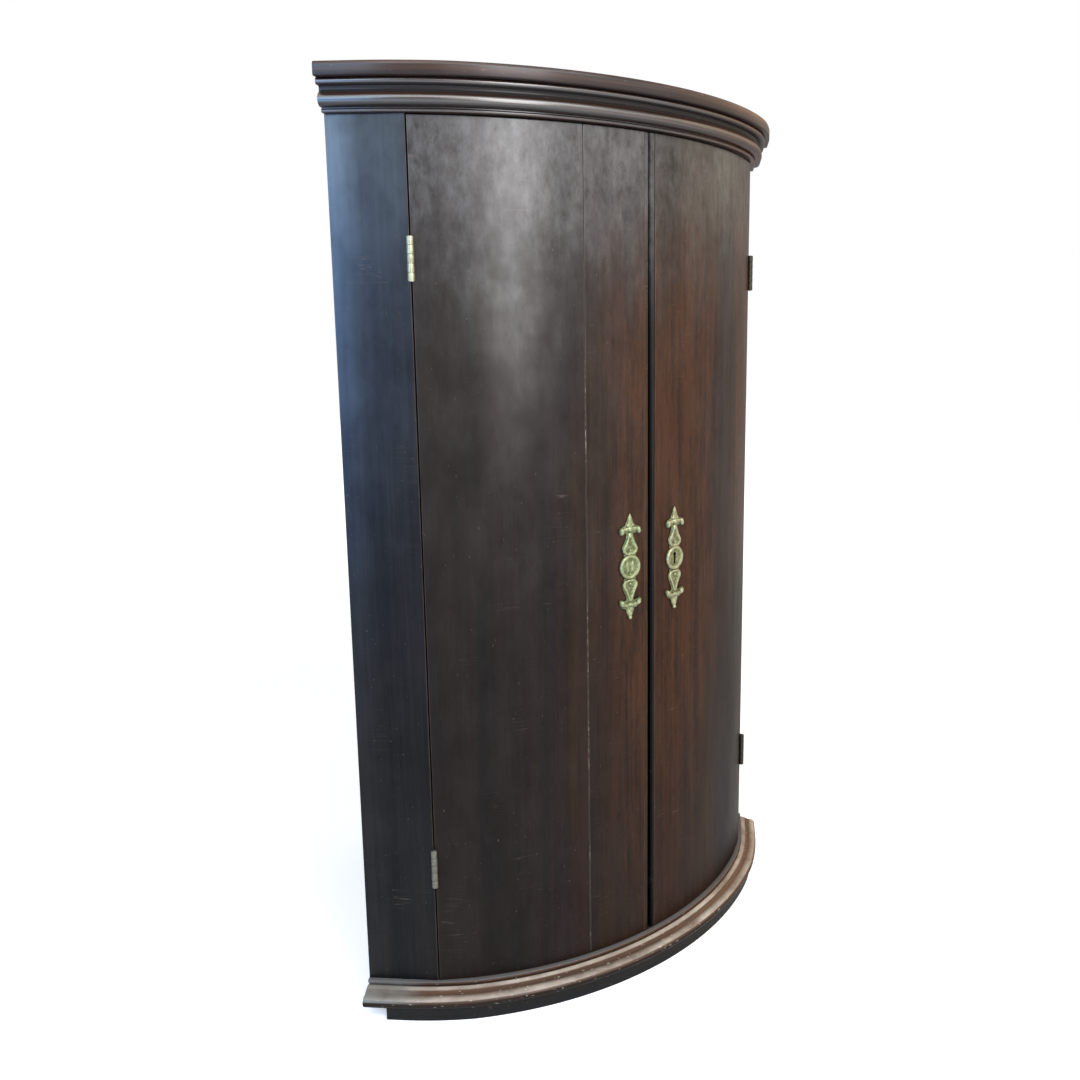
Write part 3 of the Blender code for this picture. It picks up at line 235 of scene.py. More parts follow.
class Shell(NamedTuple):
    """A closed surface, with what its finish reads at each point.

    Its board coordinates are those of the straight, flat board that the point was cut from, with the
    grain along the third. Wear and shade is 1 on a worn outer edge, 0 on the flat, and below nothing
    where shade is painted: in a hollow, under a round and on an edge in a gap.
    """

    points: Array
    board: Array
    wear_and_shade: Array
    quads: Array
    caps: list[Array]


def lofted(rows: Array, board: Array, wear_and_shade: Array, ring: bool = False) -> Shell:
    """Skins a grid of closed rows.

    Point j of row i is joined to point j + 1 of its own row, which closes on itself, and to point j of
    row i + 1. The first and last rows are capped, or joined to each other. If the volume inside comes out
    below nothing, every face is turned over.

    Args:
        rows: the grid, (M, N, 3).
        board: board coordinates of the grid.
        wear_and_shade: share of wear, below nothing where shade is painted, which spreads over the grid.
        ring: whether the last row joins the first.

    Returns:
        The surface.
    """
    count, size = rows.shape[:2]
    number = np.arange(count * size).reshape(count, size)
    if ring:
        number = concatenate([number, number[:1]])
    low, high = number[:-1], number[1:]
    quads = stack([low, np.roll(low, -1, axis=1), np.roll(high, -1, axis=1), high], -1).reshape(-1, 4)
    caps = [] if ring else [number[0][::-1].copy(), number[-1].copy()]
    points = rows.reshape(-1, 3)
    a, b, c, d = (points[quads[:, k]] for k in range(4))
    total = np.sum(a * (np.cross(b, c) + np.cross(c, d)))
    for corners in (points[cap] for cap in caps):
        total += np.sum(corners[0] * np.cross(corners[1:-1], corners[2:]))
    if total < 0:
        quads, caps = quads[:, ::-1], [cap[::-1] for cap in caps]
    return Shell(points, board.reshape(-1, 3), np.broadcast_to(wear_and_shade, (count, size)).reshape(-1), quads, caps)


@dataclass(frozen=True)
class Place:
    """A set of square axes, as rows, and where they meet."""

    origin: Array
    axes: Array

    def put(self, points: Array) -> Array:
        """Points given on these axes, in the cupboard's own frame."""
        return self.origin + np.asarray(points, float) @ self.axes

    def reordered(self, *order: int) -> "Place":
        """The same place with its axes, 1 to 3, in this order, those below nothing turned about."""
        return Place(self.origin, self.axes[np.abs(order) - 1] * np.sign(order)[:, None])


def eased(low: float, high: float, ease: float, between: Sequence[float] = ()) -> tuple[Array, Array, Array]:
    """Levels of a prism whose two ends are rounded over.

    Four rows at each end follow a quarter circle of the ease's radius.

    Args:
        low: lower end.
        high: upper end.
        ease: radius of the rounding.
        between: further levels.

    Returns:
        The levels, how far each row is drawn in, and the share of wear of each.
    """
    turn = linspace(0, pi / 2, 4)
    rise, inset = ease * (1 - np.cos(turn)), ease * (1 - np.sin(turn))
    middle = np.asarray(between, float)
    middle = middle[(middle > low + 2 * ease) & (middle < high - 2 * ease)]
    if high - low > 0.01:
        middle = np.sort(concatenate([middle, [low + ease + EDGE_MARGIN, high - ease - EDGE_MARGIN]]))
    levels = concatenate([low + rise, middle, (high - rise)[::-1]])
    insets = concatenate([inset, 0 * middle, inset[::-1]])
    return levels, insets, concatenate([[0.6, 1, 0.9, 0.5], 0 * middle, [0.5, 0.9, 1, 0.6]])


def prism(loop: Array, levels: Array, insets: Array) -> Array:
    """The loop at each level, its sides drawn in by that row's inset, as (M, N, 3)."""
    return lifted(loop[None] + draw_in(loop)[None] * insets[:, None, None], levels[:, None])


def raised(loop: Array, low: float, high: float, ease: float, between: Array = ()) -> tuple[Array, Array]:
    """An outline carried up between two rounded ends: its rows, and a column of their wear."""
    levels, insets, worn = eased(low, high, ease, between)
    return prism(loop, levels, insets), worn[:, None]


def slab(
    corners: Array, span: Pair, ease: float, radius: float, place: Place, shift: Colour,
    along: int = 2, spacing: float = 0.05,
) -> Shell:
    """A board or plate with eased corners and ends.

    Args:
        corners: outline, (P, 2).
        span: its lower and upper level.
        ease: rounding of both ends.
        radius: rounding of the outline's corners.
        place: axes on which it is given.
        shift: added to the board coordinates, so that no two boards match.
        along: the axis that the grain follows.
        spacing: between points on the long sides.

    Returns:
        The surface.
    """
    loop = divided(softened(corners, radius), spacing)
    rows, worn = raised(loop, *span, ease)
    order = [k for k in (0, 1, 2) if k != along] + [along]
    return lofted(place.put(rows), rows[..., order] + array(shift), maximum(arris(loop)[None], worn))


def turned(profile: Array, place: Place, sides: int) -> Shell:
    """A turned piece: the profile's radii carried round the third axis.

    Args:
        profile: (radius, height) pairs, (P, 2).
        place: its axes.
        sides: of the circle.

    Returns:
        The closed surface, with small flat ends.
    """
    circle = polar(1.0, around(sides))
    rows = lifted(profile[:, :1, None] * circle[None], profile[:, 1:])
    step = np.gradient(profile, axis=0)
    slope = np.abs(np.gradient(np.unwrap(np.arctan2(step[:, 1], step[:, 0]))))
    return lofted(place.put(rows), rows, clip(slope, 0, 1)[:, None])


def limb(path: Array, radii: Array, place: Place, flat: float) -> Shell:
    """A cast limb: an oval section carried along a line that lies in the plate's own plane.

    The section's width lies across the line and its height along the plate's third axis. The ends are
    rounded, the radii falling to nothing as a quarter ellipse.

    Args:
        path: the line, (K, 3), on the plate's axes.
        radii: half width at each point, (K,).
        place: the plate's axes.
        flat: height of the section as a share of its width.

    Returns:
        The surface.
    """
    run = lengths_along(path)
    share = clip(np.minimum(run, run[-1] - run) / maximum(radii, 1e-6), TINY, 1)
    radii = (radii * np.sqrt(1 - (1 - share) ** 2))[:, None, None]
    ahead = np.gradient(path, axis=0)
    ahead[:, 2] = 0
    ahead = unit(ahead)
    across = stack([-ahead[:, 1], ahead[:, 0], 0 * ahead[:, 2]], -1)
    turn = around(18)
    width, height = radii * np.cos(turn)[:, None], flat * radii * np.sin(turn)[:, None]
    rows = path[:, None] + width * across[:, None] + height * array([0.0, 0.0, 1.0])
    return lofted(place.put(rows), rows, clip(np.sin(turn), 0, 1)[None])


# Shader maths

Value = Union["Socket", float, int, Colour]


def arithmetic(operation: str, reflected: bool = False) -> Callable[["Socket", Value], "Socket"]:
    """An operator of a socket, which adds a Math node.

    Args:
        operation: what the node does.
        reflected: whether the socket is its second value.

    Returns:
        The method.
    """

    def method(self: "Socket", other: Value) -> "Socket":
        """The node's result."""
        return self.tree.maths(operation, *((other, self) if reflected else (self, other)))

    return method


class Socket:
    """An output in a material's node tree, on which arithmetic adds Math nodes."""

    def __init__(self, tree: "Tree", output: bpy.types.NodeSocket) -> None:
        """Keeps the tree and the output."""
        self.tree = tree
        self.output = output

    __add__ = arithmetic("ADD")
    __radd__ = arithmetic("ADD", True)
    __sub__ = arithmetic("SUBTRACT")
    __rsub__ = arithmetic("SUBTRACT", True)
    __mul__ = arithmetic("MULTIPLY")
    __rmul__ = arithmetic("MULTIPLY", True)
    __pow__ = arithmetic("POWER")
    most = arithmetic("MAXIMUM")

    def __abs__(self) -> "Socket":
        """Size without sign."""
        return self.tree.maths("ABSOLUTE", self)

    def rise(self, low: float, high: float) -> "Socket":
        """A smooth step from 0 at low to 1 at high, which may be the lesser.

        Args:
            low: where it is 0.
            high: where it is 1.

        Returns:
            The step.
        """
        ends = {"From Min": min(low, high), "From Max": max(low, high)}
        ends |= {"To Min": float(low > high), "To Max": float(low < high)}
        return self.tree.node("MapRange", {"Value": self, **ends}, interpolation_type="SMOOTHSTEP")

    def limited(self) -> "Socket":
        """Held between 0 and 1."""
        return self.tree.node("Clamp", {"Value": self})


class Tree:
    """The node tree of a material or world, emptied and built anew."""

    def __init__(self, tree: bpy.types.NodeTree) -> None:
        """Clears the tree."""
        self.tree = tree
        tree.nodes.clear()

    def node(self, kind: str, inputs: dict[Any, Any], output: Any = 0, **settings: Any) -> Socket:
        """Adds a node.

        Args:
            kind: its type.
            inputs: the value or link of each named or numbered socket.
            output: which output is wanted.
            settings: its own properties, set first.

        Returns:
            That output.
        """
        made = self.tree.nodes.new(f"ShaderNode{kind}")
        for name, setting in settings.items():
            setattr(made, name, setting)
        for name, value in inputs.items():
            socket = made.inputs[name]
            if isinstance(value, Socket):
                self.tree.links.new(value.output, socket)
            elif isinstance(value, tuple) and socket.type == "RGBA":
                socket.default_value = (*value, 1.0)
            else:
                socket.default_value = value
        return Socket(self, made.outputs[output] if made.outputs else None)

    def maths(self, operation: str, *values: Value) -> Socket:
        """A Math node."""
        return self.node("Math", dict(enumerate(values)), operation=operation)

    def mix(self, first: Value, second: Value, share: Value, blend: str = "MIX") -> Socket:
        """One colour turned into another, or blended with it, by a share."""
        inputs = {0: share, 6: first, 7: second}
        return self.node("Mix", inputs, 2, data_type="RGBA", blend_type=blend)

    def shade(self, colour: Value, share: Value) -> Socket:
        """A colour made darker: multiplied by a grey of this share."""
        return self.mix(colour, self.node("CombineColor", {0: share, 1: share, 2: share}), 1.0, "MULTIPLY")

    def places(self, own: bool = True) -> Socket:
        """The piece's board coordinates, or else its object coordinates, in metres."""
        if own:
            return self.node("Attribute", {}, "Vector", attribute_name="board")
        return self.node("TexCoord", {}, "Object")

    def wear_and_shade(self) -> Socket:
        """The piece's attribute of wear and painted shade."""
        return self.node("Attribute", {}, "Fac", attribute_name="wear_and_shade")

    def scaled(self, at: Socket, by: Colour, plus: Value = (0.0, 0.0, 0.0)) -> Socket:
        """Places multiplied by a size along each axis, and moved."""
        return self.node("VectorMath", {0: at, 1: by, 2: plus}, operation="MULTIPLY_ADD")

    def noise(
        self, at: Socket, stretch: Colour, detail: float = 2.0, rough: float = 0.5, output: Any = 0
    ) -> Socket:
        """Noise with this many waves a metre along each axis.

        Args:
            at: where it is read.
            stretch: waves a metre.
            detail: octaves.
            rough: how strong the finer ones are.
            output: a value or a colour.

        Returns:
            A value about one half, or three of them.
        """
        inputs = {"Vector": self.scaled(at, stretch), "Scale": 1.0, "Detail": detail, "Roughness": rough}
        return self.node("TexNoise", inputs, output)

    def wandering(self, at: Socket, amount: float, stretch: Colour) -> Socket:
        """Places moved by up to an amount across the grain by slow noise, so that it runs unevenly."""
        return self.scaled(self.noise(at, stretch, 1.0, output="Color"), (amount, amount, 0.0), at)

    def bump(self, height: Socket, depth: float, under: Socket | None = None) -> Socket:
        """A normal bent by a surface whose height of 1 stands for a depth in metres, over an earlier one."""
        inputs = {"Height": height, "Strength": 1.0, "Distance": depth}
        return self.node("Bump", inputs | ({"Normal": under} if under else {}))

    def surface(self, settings: dict[str, Any]) -> None:
        """Ends the tree in a Principled shader with these inputs."""
        self.node("OutputMaterial", {"Surface": self.node("BsdfPrincipled", settings)})


def new_material(name: str) -> tuple[Material, Tree]:
    """An empty material and its tree.

    Args:
        name: of the material.

    Returns:
        The material and the tree.
    """
    made = bpy.data.materials.new(name)
    made.use_nodes = True
    return made, Tree(made.node_tree)


# Finishes


class Spot(NamedTuple):
    """Where a point is: metres to the right of the bow's middle, share of the doors' height, and metres
    behind the bow's face."""

    along: Socket
    share: Socket
    depth: Socket


def on_the_bow(tree: Tree) -> Spot:
    """Where each point is on the bow, from its place in the cupboard.

    Args:
        tree: the material's tree.

    Returns:
        The angle about the bow's centre times its radius, the share, and the radius less the distance
        from that centre.
    """
    x, y, z = (tree.node("SeparateXYZ", {0: tree.places(own=False)}, k) for k in range(3))
    ahead = FRONT.centre - y
    along = tree.maths("ARCTAN2", x, ahead) * FRONT.radius
    out = (x * x + ahead**2.0) ** 0.5
    return Spot(along, (z - DOOR_FOOT) * (1 / DOOR_HEIGHT), FRONT.radius - out)


class Wood(Enum):
    """Where a mahogany finish is, which sets how its colour changes from place to place."""

    DOOR = "door"
    STILE = "stile"
    MOULDING = "moulding"
    PLINTH = "plinth"


@dataclass(frozen=True)
class Mahogany:
    """Old varnished mahogany, nearly black where the finish has gathered, red-brown where it is thin.

    Noise stretched along the grain gives bands, streaks, fibres and pores; slow noise gives clouds in
    the varnish; worn edges are paler; thin scratches cross it. Where wear and shade falls below nothing
    the colour is a painted shade and the varnish thins; the doors carry a painted grey haze of
    reflection below the cornice.
    """

    name: str
    wood: Wood
    dark: Colour
    middle: Colour
    warm: Colour
    worn: Colour = (0.16, 0.115, 0.085)
    roughness: float = 0.45
    wear_share: float = 0.3
    gloss: float = 1.0
    varnish_roughness: float = 0.24
    varnish_index: float = 1.5
    redness: float = 1.0
    flecked: float = 0.0
    # Colour of the painted shade where wear and shade falls below nothing: in hollows, under rounds and on
    # edges in gaps.
    hollow: Colour = (0.0012, 0.001, 0.0009)
    hollow_dulls: float = 0.85
    # Grey of a painted reflection: a mottled haze over the doors' upper part.
    painted_haze_grey: Colour = (0.3, 0.285, 0.275)
    chalk: Colour = (0.17, 0.168, 0.145)
    dust: Colour = (0.098, 0.095, 0.092)
    back_starts: float = 0.006
    back_full: float = 0.012

    def warmth(self, tree: Tree, spot: Spot, streaks: Socket, board: Socket) -> Socket:
        """How red the wood shows: most beside the meeting edges, in streaks that follow the grain.

        Args:
            tree: the tree to build in.
            spot: where the point is.
            streaks: the grain's streaks.
            board: the board's places.

        Returns:
            A share.
        """
        if self.wood is not Wood.DOOR:
            clouds = tree.noise(board, (14, 14, 3.0), 3, 0.6)
            to_right = spot.along.rise(-0.05, 0.27) * 0.7
            return (clouds * 0.7 + streaks * 0.5 - 0.35 + to_right).limited() * self.redness
        slow = tree.noise(board, (26, 26, 1.6), 2, 0.6)
        drift = slow - 0.5
        edge = spot.along + drift * 0.09
        left = (edge + (1.0 - spot.share) * 0.03).rise(-0.125, 0.032)
        right = edge.rise(0.2, 0.085)
        high = (spot.share + drift * 0.2).rise(1.0, 0.78)
        low = (spot.share + drift * 0.15).rise(0.02, 0.52) * 0.62 + 0.38
        far = edge.rise(0.155, 0.215) * (spot.share + drift * 0.2).rise(1.05, 0.8)
        behind = spot.depth.rise(self.back_starts, self.back_full)
        front = (left * right * high + far) * low * (1.0 - behind)
        specks = tree.noise(tree.places(), (260, 260, 75), 3, 0.7).rise(0.3, 0.7)
        broken = tree.noise(board, (80, 80, 9), 3, 0.6).rise(0.34, 0.66)
        grain = 0.12 + 0.4 * streaks + 0.58 * broken + 0.4 * specks
        return ((front + behind * (slow * 0.5 + 0.12)) * grain).limited() * self.redness

    def varnish(self, tree: Tree, spot: Spot, smear: Socket) -> Socket:
        """How much varnish is left: most near the top, less where hands and dust have dulled it.

        Args:
            tree: the tree to build in.
            spot: where the point is.
            smear: slow noise that breaks its edges up.

        Returns:
            A share.
        """
        if self.wood in (Wood.MOULDING, Wood.PLINTH):
            to_right = spot.along.rise(-0.05, 0.24)
            return (smear * 0.5 + 0.75).limited() * (1.0 - 0.6 * to_right) * self.gloss
        share = spot.share + (smear - 0.5) * 0.22
        if self.wood is Wood.STILE:
            smudges = tree.noise(tree.places(), (13, 13, 8), 4, 0.7).rise(0.3, 0.66)
            high = share.rise(0.46, 0.92) * 0.62 + 0.17
            edge = spot.along.rise(-0.322, -0.352)
            return high * (0.7 + 0.55 * smudges) * (0.88 + 0.5 * edge) * self.gloss
        high = ((share - 0.43) * 1.86).limited() ** 1.2
        mottle = tree.noise(tree.places(), (22, 22, 13), 4, 0.7).rise(0.32, 0.68)
        left = (high * 0.82 + 0.15) * (0.68 + 0.56 * mottle) * self.gloss
        place = spot.along + (smear - 0.5) * 0.05
        front = 1.0 - 0.45 * place.rise(-0.06, 0.05) - 0.32 * place.rise(0.15, 0.22)
        behind = spot.depth.rise(self.back_starts, self.back_full)
        return left * front * (1.0 - behind) + behind * (0.1 + 0.18 * mottle)

    def with_painted_haze(self, tree: Tree, spot: Spot, smear: Socket, colour: Socket) -> Socket:
        """A door's colour under a mottled grey haze below the cornice, a painted reflection that fades
        downwards, and shaded low down at its far right end.

        Args:
            tree: the tree to build in.
            spot: where the point is.
            smear: slow noise.
            colour: the wood's.

        Returns:
            The colour.
        """
        drift = smear - 0.5
        mottle = tree.noise(tree.places(), (95, 95, 48), 4, 0.7)
        high = (spot.share + drift * 0.3).rise(0.76, 1.02) * (1.0 - 0.4 * spot.along.rise(-0.02, 0.06))
        colour = tree.mix(colour, self.painted_haze_grey, (high * (mottle * 0.62 - 0.19)).limited())
        far_end = (spot.along + drift * 0.04).rise(0.13, 0.205)
        return tree.shade(colour, 1.0 - 0.66 * far_end * (spot.share + drift * 0.1).rise(0.52, 0.4))

    def chalked(self, tree: Tree, spot: Spot, patches: Socket, flat: Socket, colour: Socket) -> Socket:
        """The base moulding's colour, gone chalky at its left end and dusty on its top face.

        Args:
            tree: the tree to build in.
            spot: where the point is.
            patches: slow noise.
            flat: 0 in the hollows.
            colour: the wood's.

        Returns:
            The colour.
        """
        left_end = (spot.along.rise(-0.285, -0.335) * (patches * 1.8 - 0.15)).limited() * flat
        dusty = spot.share.rise(-0.0016, -0.0003) * (0.55 + 0.5 * patches)
        return tree.mix(tree.mix(colour, self.chalk, left_end), self.dust, dusty.limited())

    def scratches(self, tree: Tree) -> Value:
        """Thin lines that cross the grain in patches, where slanted noise passes one half.

        Args:
            tree: the tree to build in.

        Returns:
            A share, which is nothing on mouldings.
        """
        if self.wood is Wood.MOULDING:
            return 0.0
        slant = {"Rotation": (0.0, radians(24), radians(11)), "Scale": (9.0, 9.0, 210.0)}
        slanted = tree.node("Mapping", {"Vector": tree.places(), **slant})
        lines = tree.node("TexNoise", {"Vector": slanted, "Scale": 1.0, "Detail": 0.0})
        patches = tree.noise(tree.places(), (21, 21, 17), 1, 0.5).rise(0.6, 0.68)
        return abs(lines - 0.5).rise(0.008, 0.002) * patches

    @cache
    def build(self) -> Material:
        """Builds the material, once.

        Returns:
            The material.
        """
        made, tree = new_material(self.name)
        spot = on_the_bow(tree)
        board = tree.wandering(tree.places(), 0.01, (6.0, 6.0, 1.4))
        bands = tree.noise(board, (60, 60, 0.9), 3, 0.55).rise(0.32, 0.7)
        streaks = tree.noise(board, (230, 230, 3.2), 3, 0.6)
        fibres = tree.noise(board, (1100, 1100, 16), 2, 0.6)
        pores = tree.noise(board, (2300, 2300, 48), 1, 0.5).rise(0.6, 0.7)
        clouds = tree.noise(board, (9, 9, 5), 4, 0.6).rise(0.35, 0.72)
        smear = tree.noise(board, (30, 30, 9), 4, 0.65)
        patches = tree.noise(tree.places(), (38, 38, 20), 3, 0.65)
        wear_and_shade, scratches = tree.wear_and_shade(), self.scratches(tree)
        # Painted shade: where wear and shade falls below nothing the colour turns to the hollow colour and
        # the varnish thins.
        hollow = wear_and_shade.rise(-0.03, -0.4)
        # Rubbed takes in worn edges and also the base mould's pale lines of painted highlight.
        rubbed = (wear_and_shade.rise(0.25, 0.85) * (patches * 1.9 - 0.35)).limited() * self.wear_share
        fleck = 0.735 - self.flecked
        flecks = tree.noise(tree.places(), (420, 420, 190), 1, 0.5).rise(fleck, fleck + 0.04)
        warmth = self.warmth(tree, spot, streaks.rise(0.36, 0.68), board)
        colour = tree.mix(tree.mix(self.dark, self.middle, bands * 0.6 + clouds * 0.4), self.warm, warmth)
        colour = tree.shade(tree.shade(colour, 0.62 + 0.76 * fibres), 1.0 - pores * 0.45)
        colour = tree.mix(colour, self.hollow, hollow * 0.85)
        colour = tree.mix(colour, self.worn, (rubbed + flecks * 0.35).limited())
        # Painted reflection on the doors: a grey haze below the cornice.
        if self.wood is Wood.DOOR:
            colour = self.with_painted_haze(tree, spot, smear, colour)
        if self.flecked:
            colour = self.chalked(tree, spot, patches, 1.0 - hollow, colour)
        rough = self.roughness + (smear - 0.5) * 0.16 + pores * 0.1 + scratches * 0.2 + rubbed * 0.1
        ripple = tree.bump(tree.noise(board, (34, 34, 7), 2, 0.5), 0.00045)
        edge_on = tree.node("LayerWeight", {"Blend": 0.5}, "Facing")
        coat = self.varnish(tree, spot, smear) * (0.86 + 0.28 * streaks) * (1.0 - 0.5 * rubbed)
        coat = coat * (1.0 - self.hollow_dulls * hollow) * (1.0 - 1.15 * edge_on**2.0).limited()
        settings = {
            "Base Color": tree.mix(colour, self.worn, scratches * 0.25),
            "Roughness": rough.limited(),
            "Specular IOR Level": 0.03,
            "Coat Weight": coat,
            "Coat Roughness": self.varnish_roughness,
            "Coat IOR": self.varnish_index,
            "Normal": tree.bump(fibres * 0.5 - pores * 0.8 - scratches * 0.6, 0.00004, ripple),
        }
        tree.surface(settings)
        return made


@dataclass(frozen=True)
class Pine:
    """Unvarnished pine gone brown with age: long soft bands, darker late wood and a few marks.

    A CAD node has no board coordinates, so its grain follows the first axis of the cupboard.
    """

    name: str
    own: bool = True
    pale: Colour = (0.3, 0.185, 0.095)
    brown: Colour = (0.145, 0.078, 0.038)
    roughness: float = 0.62

    @cache
    def build(self) -> Material:
        """Builds the material, once.

        Returns:
            The material.
        """
        made, tree = new_material(self.name)
        source = tree.places(self.own)
        if not self.own:
            source = tree.node("Mapping", {"Vector": source, "Rotation": (0.0, radians(90), 0.0)})
        board = tree.wandering(source, 0.016, (5.0, 5.0, 1.2))
        rings = tree.noise(board, (75, 75, 0.8), 2, 0.5)
        late = (tree.maths("SINE", rings * 46.0) * 0.5 + 0.5) ** 2.2
        fibres = tree.noise(board, (900, 900, 14), 2, 0.6)
        clouds = tree.noise(board, (7, 7, 4), 4, 0.6)
        marks = tree.noise(source, (60, 60, 40), 3, 0.7).rise(0.66, 0.8)
        # Painted shade of the gap on the rails' front faces, where wear and shade falls below nothing.
        painted_gap_shade = tree.wear_and_shade().rise(-0.03, -0.4) if self.own else 0.0
        brown = (late * 0.55 + clouds.rise(0.3, 0.75) * 0.45).limited()
        colour = tree.shade(tree.mix(self.pale, self.brown, brown), 0.72 + 0.5 * fibres)
        colour = tree.shade(colour, (1.0 - marks * 0.5) * (1.0 - 0.93 * painted_gap_shade))
        rough = (self.roughness + (clouds - 0.5) * 0.2).limited()
        normal = tree.bump(fibres * 0.6 + late * 0.4, 0.00012)
        tree.surface({"Base Color": colour, "Roughness": rough, "Specular IOR Level": 0.3, "Normal": normal})
        return made


@dataclass(frozen=True)
class Metal:
    """Old metal: bright where hands have rubbed it, dull and tinted in the hollows, finely pitted."""

    name: str
    bright: Colour
    dull: Colour
    dirt: Colour
    roughness: float = 0.44
    own: bool = True
    metallic: float = 0.75
    pitting: float = 0.0001

    @cache
    def build(self) -> Material:
        """Builds the material, once.

        Returns:
            The material.
        """
        made, tree = new_material(self.name)
        at = tree.places(self.own)
        blotches = tree.noise(at, (260, 260, 260), 4, 0.65)
        fine = tree.noise(at, (1500, 1500, 1500), 3, 0.6)
        slow = tree.noise(at, (70, 70, 70), 3, 0.6)
        rubbed = blotches.rise(0.4, 0.66)
        if self.own:
            rubbed = (rubbed * 0.5 + tree.wear_and_shade() * 0.55 - 0.1).limited()
        soiled = (slow.rise(0.52, 0.74) * 0.55 + fine.rise(0.6, 0.74) * 0.35) * (1.0 - rubbed * 0.6)
        colour = tree.mix(tree.mix(self.dull, self.bright, rubbed), self.dirt, soiled.limited())
        rough = self.roughness + (blotches - 0.5) * 0.3 + soiled * 0.25 - rubbed * 0.08
        settings = {
            "Base Color": tree.shade(colour, 0.86 + 0.28 * fine),
            "Roughness": rough.limited(),
            "Metallic": (self.metallic - soiled * 0.6).limited(),
            "Normal": tree.bump(fine * 0.6 + blotches * 0.8, self.pitting),
        }
        tree.surface(settings)
        return made


@dataclass(frozen=True)
class Filler:
    """Old filler in an open joint: dark glue and dust, with pale crumbs of plaster along it."""

    name: str
    glue: Colour
    crumbs: Colour

    @cache
    def build(self) -> Material:
        """Builds the material, once.

        Returns:
            The material.
        """
        made, tree = new_material(self.name)
        at = tree.places()
        long = tree.noise(at, (20, 20, 9), 2, 0.6)
        short = tree.noise(at, (700, 700, 160), 2, 0.6)
        height = tree.node("SeparateXYZ", {0: tree.places(own=False)}, 2)
        pale = (long.rise(0.5, 0.64) * short.rise(0.46, 0.6) * height.rise(0.88, 0.84)).limited()
        colour = tree.mix(self.glue, self.crumbs, pale)
        tree.surface({"Base Color": colour, "Roughness": 0.85, "Normal": tree.bump(short, 0.0002)})
        return made


class Finish(Enum):
    """Every finish of the cupboard, each built when it is first wanted."""

    DOOR = Mahogany(
        "door_varnish", Wood.DOOR, (0.0052, 0.0041, 0.0036), (0.0135, 0.0078, 0.0058), (0.046, 0.0175, 0.0072)
    )
    BEAD = Mahogany(
        "bead_varnish", Wood.DOOR, (0.0035, 0.0038, 0.0042), (0.0075, 0.008, 0.0082), (0.012, 0.0105, 0.0095),
        wear_share=0.1, redness=0.4,
    )
    STILE = Mahogany(
        "stile_varnish", Wood.STILE, (0.0024, 0.0026, 0.003), (0.0056, 0.0052, 0.005), (0.01, 0.0075, 0.006)
    )
    CAP = Mahogany(
        "cornice_cap_varnish", Wood.MOULDING,
        (0.0055, 0.0038, 0.0036), (0.015, 0.0082, 0.0068), (0.092, 0.032, 0.018), (0.2, 0.14, 0.105),
        wear_share=0.4, gloss=0.7, varnish_roughness=0.22, varnish_index=1.55,
        hollow=(0.022, 0.0175, 0.0165), hollow_dulls=0.75,
    )
    BED = Mahogany(
        "cornice_bed_varnish", Wood.MOULDING,
        (0.005, 0.004, 0.0038), (0.012, 0.0078, 0.0066), (0.062, 0.026, 0.0155),
        wear_share=0.2, varnish_roughness=0.22, varnish_index=1.85,
        hollow=(0.025, 0.022, 0.021), hollow_dulls=0.88,
    )
    BASE = Mahogany(
        "base_mould_varnish", Wood.MOULDING,
        (0.034, 0.0205, 0.014), (0.08, 0.0445, 0.0275), (0.125, 0.062, 0.033), (0.54, 0.46, 0.37),
        wear_share=0.85, gloss=0.34, varnish_roughness=0.22, flecked=0.045,
        hollow=(0.0105, 0.0095, 0.0085), hollow_dulls=0.92,
    )
    PLINTH = Mahogany(
        "plinth_stain", Wood.PLINTH, (0.0058, 0.0056, 0.0054), (0.0115, 0.01, 0.0088), (0.018, 0.0135, 0.011),
        gloss=0.2, redness=0.5,
    )
    PINE = Pine("old_pine")
    END_BOARDS = Pine("old_pine_end_boards", own=False)
    VERDIGRIS = Metal("verdigris_brass", (0.335, 0.36, 0.2), (0.078, 0.095, 0.035), (0.012, 0.015, 0.006))
    PLAIN_BRASS = Metal("plain_brass", (0.37, 0.37, 0.22), (0.094, 0.096, 0.038), (0.016, 0.016, 0.007))
    HINGE = Metal("hinge_brass_finish", (0.52, 0.5, 0.37), (0.3, 0.29, 0.18), (0.06, 0.05, 0.03), 0.42)
    # Darker copies of the hinge brass, for painted shade: the lower left hinge, and deeper at the right.
    SHADED_HINGE = Metal(
        "shaded_hinge_brass", (0.185, 0.175, 0.145), (0.11, 0.104, 0.08), (0.03, 0.025, 0.017), 0.42
    )
    DARK_HINGE = Metal(
        "dark_hinge_brass", (0.05, 0.044, 0.03), (0.027, 0.023, 0.015), (0.012, 0.01, 0.007), 0.42
    )
    BOLTS = Metal("bolt_brass_finish", (0.5, 0.44, 0.24), (0.3, 0.24, 0.11), (0.07, 0.055, 0.03), 0.42, False)
    IRON = Metal("old_iron", (0.17, 0.155, 0.145), (0.075, 0.062, 0.055), (0.085, 0.038, 0.018), 0.5, False)
    FILLER = Filler("joint_filler", (0.01, 0.007, 0.0058), (0.26, 0.195, 0.15))


# Pieces


class Slot(Enum):
    """Material slots of the record."""

    DOORS = "door_mahogany"
    STILES = "stile_mahogany"
    CORNICE = "cornice_mahogany"
    BASE = "base_mahogany"
    PLINTH = "plinth_mahogany"
    PINE = "carcase_pine"
    ESCUTCHEONS = "escutcheon_brass"
    HINGES = "hinge_brass"


class Body(Enum):
    """Bodies of the frame that pieces ride on."""

    CARCASE = "carcase"
    LEFT_DOOR = "left_door"
    RIGHT_DOOR = "right_door"


